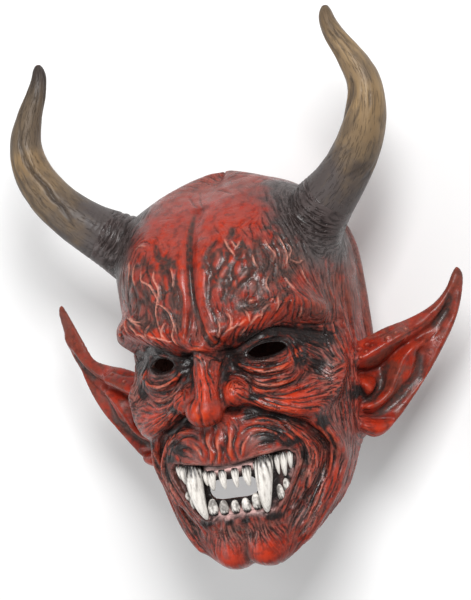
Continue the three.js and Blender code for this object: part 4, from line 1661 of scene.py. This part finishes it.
def sculpted(mesh, is_horn, marks, warts, lines, triangles):
    """A part of the casting with all its relief, thinned, and what its paint follows."""
    mesh = remeshed(mesh, FINE_VOXEL)
    skin = Skin(mesh)
    skin.points = skin.smooth(skin.points, 3)
    if not is_horn:
        soften_lips(skin)
    skin.settle()
    base, normals = skin.points.copy(), normals_of(mesh)
    along, reach, turn = horn_places(base)
    outer = skin.smooth(outer_face(base, normals, along, reach, is_horn), 2)
    lift, covers = np.zeros(skin.count), np.zeros((len(BRUSHES), skin.count))
    fine = np.zeros(skin.count)
    outside = np.flatnonzero(outer > 0.2)
    if not is_horn:
        lift[outside], covers[:, outside] = hand_lines(marks, warts, base[outside])
        fine[outside] = lines.depth_at(base[outside])
        forehead = np.flatnonzero((outer > 0.2) & (base[:, 1] > 40) & (base[:, 2] > 20))
        grooves = crackle(base[forehead]) * (1 - np.clip(covers[VEIN_HIGHLIGHT, forehead], 0, 1))
        lift[forehead] -= ISLAND_GROOVE * grooves
        covers[GREY, forehead] = np.maximum(covers[GREY, forehead], grooves)
    ripple, dark = horn_relief(base, along, turn)
    on_horn = np.ones(skin.count)
    if not is_horn:
        on_horn = ease(-reach, -1.3, -1.05) * ease(along, 0.03, 0.08)
    lift += on_horn * ripple
    covers[INK] = np.maximum(covers[INK], on_horn * dark)
    total = (lift - FINE_DEPTH * fine * (0.5 + 0.5 * ease(base[:, 2], 0, 40))) * outer
    skin.points = skin.smooth(base + normals * total[:, None], 1, 0.2)
    skin.points[:, 2] = np.maximum(skin.points[:, 2], -REST_DEPTH)
    skin.settle()
    near = skin.points - skin.around(skin.points)
    far = skin.points - skin.smooth(skin.points, 12)
    after = normals_of(mesh)
    look = {
        "ink": covers[INK], "grey": covers[GREY], "vein_highlight": covers[VEIN_HIGHLIGHT], "fine": fine,
        "near": np.sum(near * after, axis=1), "middle": np.sum(far * after, axis=1),
        "outer": outer,
    }
    for name in LOOK:
        add_values(mesh, name, look[name])
    back = ease(-base[:, 2], -30, 10) * (np.abs(base[:, 0]) < EAR_ALONE)
    free = np.where(outer < 0.5, 0.97, 0.3 if is_horn else 0.3 + 0.55 * back)
    mesh = thinned(mesh, triangles, free)
    return mesh, take_values(mesh, LOOK)


# Teeth: where the root's middle is, the height of the tip, the half-width, how far the tip leans
# to the middle of the mouth, and how far the tooth stands out of the gum.
BIG_TOOTH = 5  # half-width past which a tooth is a fang
FANGS = [(24.5, -43, -81, 6.4, 3.2, 7.5), (-26, -43, -81, 6.2, 4, 7.5)]
TEETH = [
    (4.4, -48.5, -62, 2.7, 0.2, 2.5), (12.4, -48, -62, 3.4, -0.3, 3),
    (-4.6, -48.5, -62, 2.8, 0.2, 2.5), (-13, -48.5, -62, 3.2, 0, 3),
    (-17.8, -48, -58.5, 2.2, 0.3, 2), (18.5, -47, -54, 2, 0.5, 1.5), (32.2, -44, -58, 2, 0.3, 2.5),
    (36, -43.5, -60, 2.8, 0.8, 2.5), (39.8, -43, -56, 2.4, 0.8, 2),
    (-33.2, -43.5, -60, 2.4, 0.5, 2.5), (-37.2, -43, -57, 2.3, 0.8, 2.5),
    (-41, -42.5, -54, 2, 1, 2), (0.4, -78, -69.5, 3, 0, 2.2), (8, -78, -69, 3.1, 0.3, 2.2),
    (15.6, -77.5, -66.6, 3.4, 0.4, 2.5), (-8, -78, -68.7, 3.2, 0.3, 2.2),
    (-16.2, -78, -67.2, 3.4, 0.4, 2.5), (20.4, -77, -70, 2.2, 0.4, 1.5),
    (31, -75, -64, 2.6, 0.6, 2), (35.3, -71, -61, 2.6, 0.6, 2), (-32.5, -74, -64, 2.6, 0.4, 2),
    (-36.5, -70, -61.5, 2.4, 0.6, 2),
]


def tooth(number, root_x, root, tip, half, lean, proud):
    """A fluted tooth, bowed out of the gum and back in at its point; stubby where it stands up."""
    side = math.copysign(1, root_x)
    stands = tip > root
    sides, steps = (40, 60) if half > BIG_TOOTH else (24, 28)
    path = []
    for share in (0, 0.25, 0.5, 0.75, 1):
        depth = gum_depth(root_x) + proud * math.sin(2.2 * share + 0.25) - 0.5
        path.append((root_x - side * lean * share * share, root + (tip - root) * share, depth))
    power = 3.2 if stands else 1.5

    def radius_at(along, turn):
        flutes = 0.06 * np.cos(9 * turn + number) + 0.04 * np.cos(14 * turn + 2 * number)
        profile = np.sqrt(np.maximum(1 - along**power, 0.004))
        neck = 1 - 0.12 * gauss(along, 0.12)
        return half * profile * neck * (1 + flutes * (1 - 0.5 * along))

    return limb("tooth", path, radius_at, sides, steps), stands


def teeth():
    """All teeth in one mesh, with the paint of each vertex."""
    meshes, paints = [], []
    for number, place in enumerate([*FANGS, *TEETH]):
        mesh, stands = tooth(number, *place)
        points = points_of(mesh)
        _, root, tip, *_ = place
        along = np.clip((points[:, 1] - root) / (tip - root), 0, 1)
        off = points - np.mean(points, axis=0)
        turn = np.arctan2(off[:, 2], off[:, 0])
        streaks = 0.5 + 0.5 * np.cos(9 * turn + number + 2 * np.sin(5 * along + number))
        streaks *= clouds(points * (1, 0.25, 1), 1.6, 21)
        root_dark = ease(-along, -0.5, -0.05)
        stain = ease(clouds(points, 2.2, 22) - 0.25 + 0.15 * stands, 0.25, 0.6)
        paints.append(layered(
            TOOTH_IVORY + 0 * points,
            (TOOTH_GREY, ease(streaks, 0.25, 0.6) * (0.35 + 0.65 * root_dark)),
            (TOOTH_DARK, ease(streaks + 0.55 * root_dark, 0.48, 0.88) * (0.4 + 0.6 * root_dark)),
            (TOOTH_DARK, stain * (0.25 + 0.5 * stands)),
            (BLACK, ease(-along, -0.16, -0.02)),
        ))
        meshes.append(mesh)
    return joined("teeth", meshes), np.concatenate(paints)


# Finishes

GLOSS = 0.28


class Finish:
    """A painted material, with short ways to add its nodes."""

    def __init__(self, name, roughness):
        self.material = bpy.data.materials.new(name)
        self.material.use_nodes = True
        self.nodes = self.material.node_tree.nodes
        self.surface = self.nodes["Principled BSDF"]
        self.surface.inputs["Roughness"].default_value = roughness
        self.surface.inputs["Specular IOR Level"].default_value = GLOSS
        self.paint = self.attribute("paint", "Color")
        self.place = self.add("ShaderNodeTexCoord").outputs["Object"]

    def add(self, kind, inputs=(), **settings):
        node = self.nodes.new(kind)
        for setting, value in settings.items():
            setattr(node, setting, value)
        for name, value in dict(inputs).items():
            if isinstance(value, bpy.types.NodeSocket):
                self.material.node_tree.links.new(value, node.inputs[name])
            else:
                node.inputs[name].default_value = value
        return node

    def attribute(self, name, output):
        return self.add("ShaderNodeAttribute", attribute_name=name).outputs[output]

    def noise(self, place, size, detail):
        """Noise of about that size in millimetres."""
        inputs = {"Vector": place, "Scale": 1 / (size * MM), "Detail": detail}
        return self.add("ShaderNodeTexNoise", inputs).outputs["Fac"]

    def math(self, operation, a, b):
        return self.add("ShaderNodeMath", {0: a, 1: b}, operation=operation).outputs[0]

    def times(self, product, *others):
        for other in others:
            product = self.math("MULTIPLY", product, other)
        return product

    def ramp(self, value, low, high, to_low=0.0, to_high=1.0):
        """A smooth step of a value between two ends."""
        ends = {"From Min": low, "From Max": high, "To Min": to_low, "To Max": to_high}
        inputs = {"Value": value, **ends}
        node = self.add("ShaderNodeMapRange", inputs, interpolation_type="SMOOTHSTEP")
        return node.outputs["Result"]

    def shifted(self, way, distance):
        """The place moved along a way by a distance in millimetres."""
        inputs = {0: way, 1: (distance * MM,) * 3, 2: self.place}
        return self.add("ShaderNodeVectorMath", inputs, operation="MULTIPLY_ADD").outputs["Vector"]

    def over(self, cover, paint, base):
        """A colour laid over a base where a mask covers it."""
        inputs = {0: cover, 6: base, 7: (*paint, 1)}
        return self.add("ShaderNodeMix", inputs, data_type="RGBA").outputs[2]

    def done(self, base, height, depth, roughness=None):
        """The material, with its colour, a relief that deep in millimetres, and its gloss."""
        links = self.material.node_tree.links
        links.new(base, self.surface.inputs["Base Color"])
        relief = {"Height": height, "Distance": depth * MM, "Strength": 1.0}
        bump = self.add("ShaderNodeBump", relief)
        links.new(bump.outputs["Normal"], self.surface.inputs["Normal"])
        if roughness is not None:
            links.new(roughness, self.surface.inputs["Roughness"])
        return self.material


STREAK_SHIFTS = [0.55 * step for step in range(-4, 5)]  # noise is drawn out along the wrinkles


def latex_finish():
    """Painted latex: dark wash drawn along the wrinkles, a pale painted highlight on the ridges
    between them, flecks of dry brushing and a soft uneven gloss."""
    finish = Finish("painted latex", 0.4)
    way = finish.attribute("way", "Vector")
    lined = finish.attribute("lined", "Fac")
    red = finish.attribute("red", "Fac")
    total = None
    for shift in STREAK_SHIFTS:
        strand = finish.noise(finish.shifted(way, shift), 1.25, 0)
        total = strand if total is None else finish.math("ADD", total, strand)
    strands = finish.math("DIVIDE", total, len(STREAK_SHIFTS))
    hairline = finish.times(finish.ramp(strands, 0.505, 0.555), lined)
    # The ridges between the hairlines: a pale pink painted highlight, laid on below.
    rise = finish.ramp(strands, 0.485, 0.43)
    flecks = finish.ramp(finish.noise(finish.place, 2.4, 3), 0.56, 0.68)
    grime = finish.ramp(finish.noise(finish.place, 5.5, 4), 0.49, 0.66)
    base = finish.over(finish.times(flecks, red, 0.12), ORANGE, finish.paint)
    base = finish.over(finish.times(grime, 0.4), CHARCOAL, base)
    base = finish.over(finish.times(rise, lined, red, 0.2), PINK_RED, base)
    base = finish.over(finish.times(hairline, 0.8), FADED_INK, base)
    pores = finish.noise(finish.place, 0.9, 2)
    height = finish.math("SUBTRACT", finish.times(pores, 0.35), hairline)
    roughness = finish.ramp(finish.noise(finish.place, 9, 3), 0.35, 0.65, 0.24, 0.44)
    return finish.done(base, height, 0.35, roughness)


# Each horn's own straight coordinates, short along it, so that its patterns are drawn out.
UNROLLED_RADIUS = 14
UNROLLED_LENGTH = 20
UNROLLED_APART = 50


def horn_finish():
    """Painted horn: streaks and hairline cracks that run lengthwise."""
    finish = Finish("painted horn", 0.45)
    round_place = finish.attribute("round", "Vector")
    streaks = finish.noise(round_place, 2.2, 3)
    cracks = finish.ramp(finish.noise(round_place, 0.9, 2), 0.56, 0.66)
    streaks = finish.times(finish.ramp(streaks, 0.54, 0.7), 0.3)
    base = finish.over(streaks, HORN_GREY, finish.paint)
    base = finish.over(finish.times(cracks, 0.35), HORN_DARK, base)
    pores = finish.times(finish.noise(finish.place, 1.2, 2), 0.3)
    return finish.done(base, finish.math("SUBTRACT", pores, cracks), 0.35)


def ivory_finish():
    """Painted teeth: grooves that run down them."""
    finish = Finish("painted ivory", 0.28)
    inputs = {0: finish.place, 1: (1.0, 0.2, 1.0)}
    stretched = finish.add("ShaderNodeVectorMath", inputs, operation="MULTIPLY").outputs["Vector"]
    grooves = finish.noise(stretched, 0.9, 3)
    stain = finish.times(finish.ramp(grooves, 0.55, 0.68), 0.5)
    return finish.done(finish.over(stain, TOOTH_GREY, finish.paint), grooves, 0.3)


# Camera, lights and floor

CAMERA_TURN = [(-20.66, "Y"), (5.88, "X"), (10.74, "Z")]
CAMERA_DISTANCE = 1617
AIM = (-18.62, 51.9, 0)  # in the camera's own directions, from the point between the ears
LENS = 138.6
LAMPS = {"key": ((0.6, 0.68, 1.4), 0.45, 24), "fill": ((-1.2, -0.3, 1.2), 1.0, 10)}
LAMP_AIM = (0, 0, 0.1)  # metres from the middle of the floor, as the lamps' places
SKY_LIGHT = 0.34
FLOOR_SIZE = 6
FLOOR_GREY = 0.92


def camera():
    """The photograph's view of the face."""
    turn = Matrix.Identity(3)
    for angle, axis in CAMERA_TURN:
        turn = Matrix.Rotation(math.radians(angle), 3, axis) @ turn
    zero = Vector(HEAD_ZERO * MM)
    place = zero + turn.transposed() @ Vector((0, 0, CAMERA_DISTANCE * MM))
    aim = zero + turn.transposed() @ (Vector(AIM) * MM)
    up = turn.transposed() @ Vector((0, 1, 0))
    back = (place - aim).normalized()
    right = up.cross(back).normalized()
    frame_axes = Matrix((right, back.cross(right), back)).transposed().to_4x4()
    made = linked("photo_camera", bpy.data.cameras.new("photo_camera"))
    made.data.lens = LENS
    made.matrix_world = Matrix.Translation(place) @ frame_axes
    bpy.context.scene.camera = made


def floor():
    bm = bmesh.new()
    bmesh.ops.create_grid(bm, x_segments=2, y_segments=2, size=FLOOR_SIZE)
    plane = linked("floor", mesh_of(bm, "floor"))
    pale = bpy.data.materials.new("pale floor")
    pale.use_nodes = True
    surface = pale.node_tree.nodes["Principled BSDF"]
    surface.inputs["Base Color"].default_value = (*(FLOOR_GREY,) * 3, 1)
    surface.inputs["Roughness"].default_value = 0.9
    plane.data.materials.append(pale)


def softbox(name, place, size, watts):
    lamp = linked(name, bpy.data.lights.new(name, "AREA"))
    lamp.data.shape = "RECTANGLE"
    lamp.data.size = lamp.data.size_y = size
    lamp.data.energy = watts
    lamp.location = place
    lamp.rotation_euler = (Vector(place) - Vector(LAMP_AIM)).to_track_quat("Z", "Y").to_euler()


def studio():
    """Two soft lamps, an even white sky, and plain colours."""
    for name, lamp in LAMPS.items():
        softbox(name, *lamp)
    world = bpy.data.worlds.new("studio")
    world.use_nodes = True
    world.node_tree.nodes["Background"].inputs["Color"].default_value = (1, 1, 1, 1)
    world.node_tree.nodes["Background"].inputs["Strength"].default_value = SKY_LIGHT
    bpy.context.scene.world = world
    bpy.context.scene.view_settings.view_transform = "Standard"


def placed(name, mesh, points, finish):
    """A piece of the mask from its mesh and its points in head millimetres."""
    piece = linked(name, mesh)
    set_points(mesh, (points + HEAD_ZERO) * MM)
    mesh.shade_smooth()
    mesh.materials.clear()
    mesh.materials.append(finish)
    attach(piece, "root")
    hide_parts("mask")


# The casting, and the lines and wrinkles laid on it

cast = casting()
skin_part, horn_parts = split(cast)
guide = Skin(cast)
guide.plant()
marks = drawn(guide)
warts = [(guide.in_front([place])[0], *size) for place, *size in WARTS]
grain = Grain(guide, marks, 7)
along, reach, _ = horn_places(guide.points)
facing = np.sum(directions_of(guide.points) * normals_of(cast), axis=1)
open_skin = (facing > 0.1) | (np.abs(guide.points[:, 0]) > EAR_ALONE)
open_skin &= ~((reach < 1.4) & (along > HORN_JOINT - 0.04))
candidates = guide.points[open_skin]
wrinkles = grain.wrinkles(candidates, wrinkling(candidates))
lines = FineLines(wrinkles, np.random.default_rng(5))

# The pieces

mesh, look = sculpted(skin_part, False, marks, warts, lines, SKIN_TRIANGLES)
points = points_of(mesh)
paint, red = painted(points, look)
add_values(mesh, "paint", paint)
add_values(mesh, "red", red)
add_values(mesh, "way", grain.way_at(points, normals_of(mesh)))
add_values(mesh, "lined", wrinkling(points) * look["outer"])
placed("mask_skin", mesh, points, latex_finish())

finish = horn_finish()
for side, part in zip(SIDES, horn_parts):
    mesh, look = sculpted(part, True, marks, warts, lines, HORN_TRIANGLES)
    points = points_of(mesh)
    add_values(mesh, "paint", painted_horn(points, look))
    along, _, turn = horn_places(points)
    length = UNROLLED_LENGTH * along + UNROLLED_APART * side
    sides = [UNROLLED_RADIUS * np.cos(turn), UNROLLED_RADIUS * np.sin(turn)]
    add_values(mesh, "round", np.column_stack([*sides, length]) * MM)
    placed("mask_horn_left" if side > 0 else "mask_horn_right", mesh, points, finish)
teeth_mesh, teeth_paint = teeth()
add_values(teeth_mesh, "paint", teeth_paint)
placed("mask_teeth", teeth_mesh, points_of(teeth_mesh), ivory_finish())

camera()
floor()
studio()
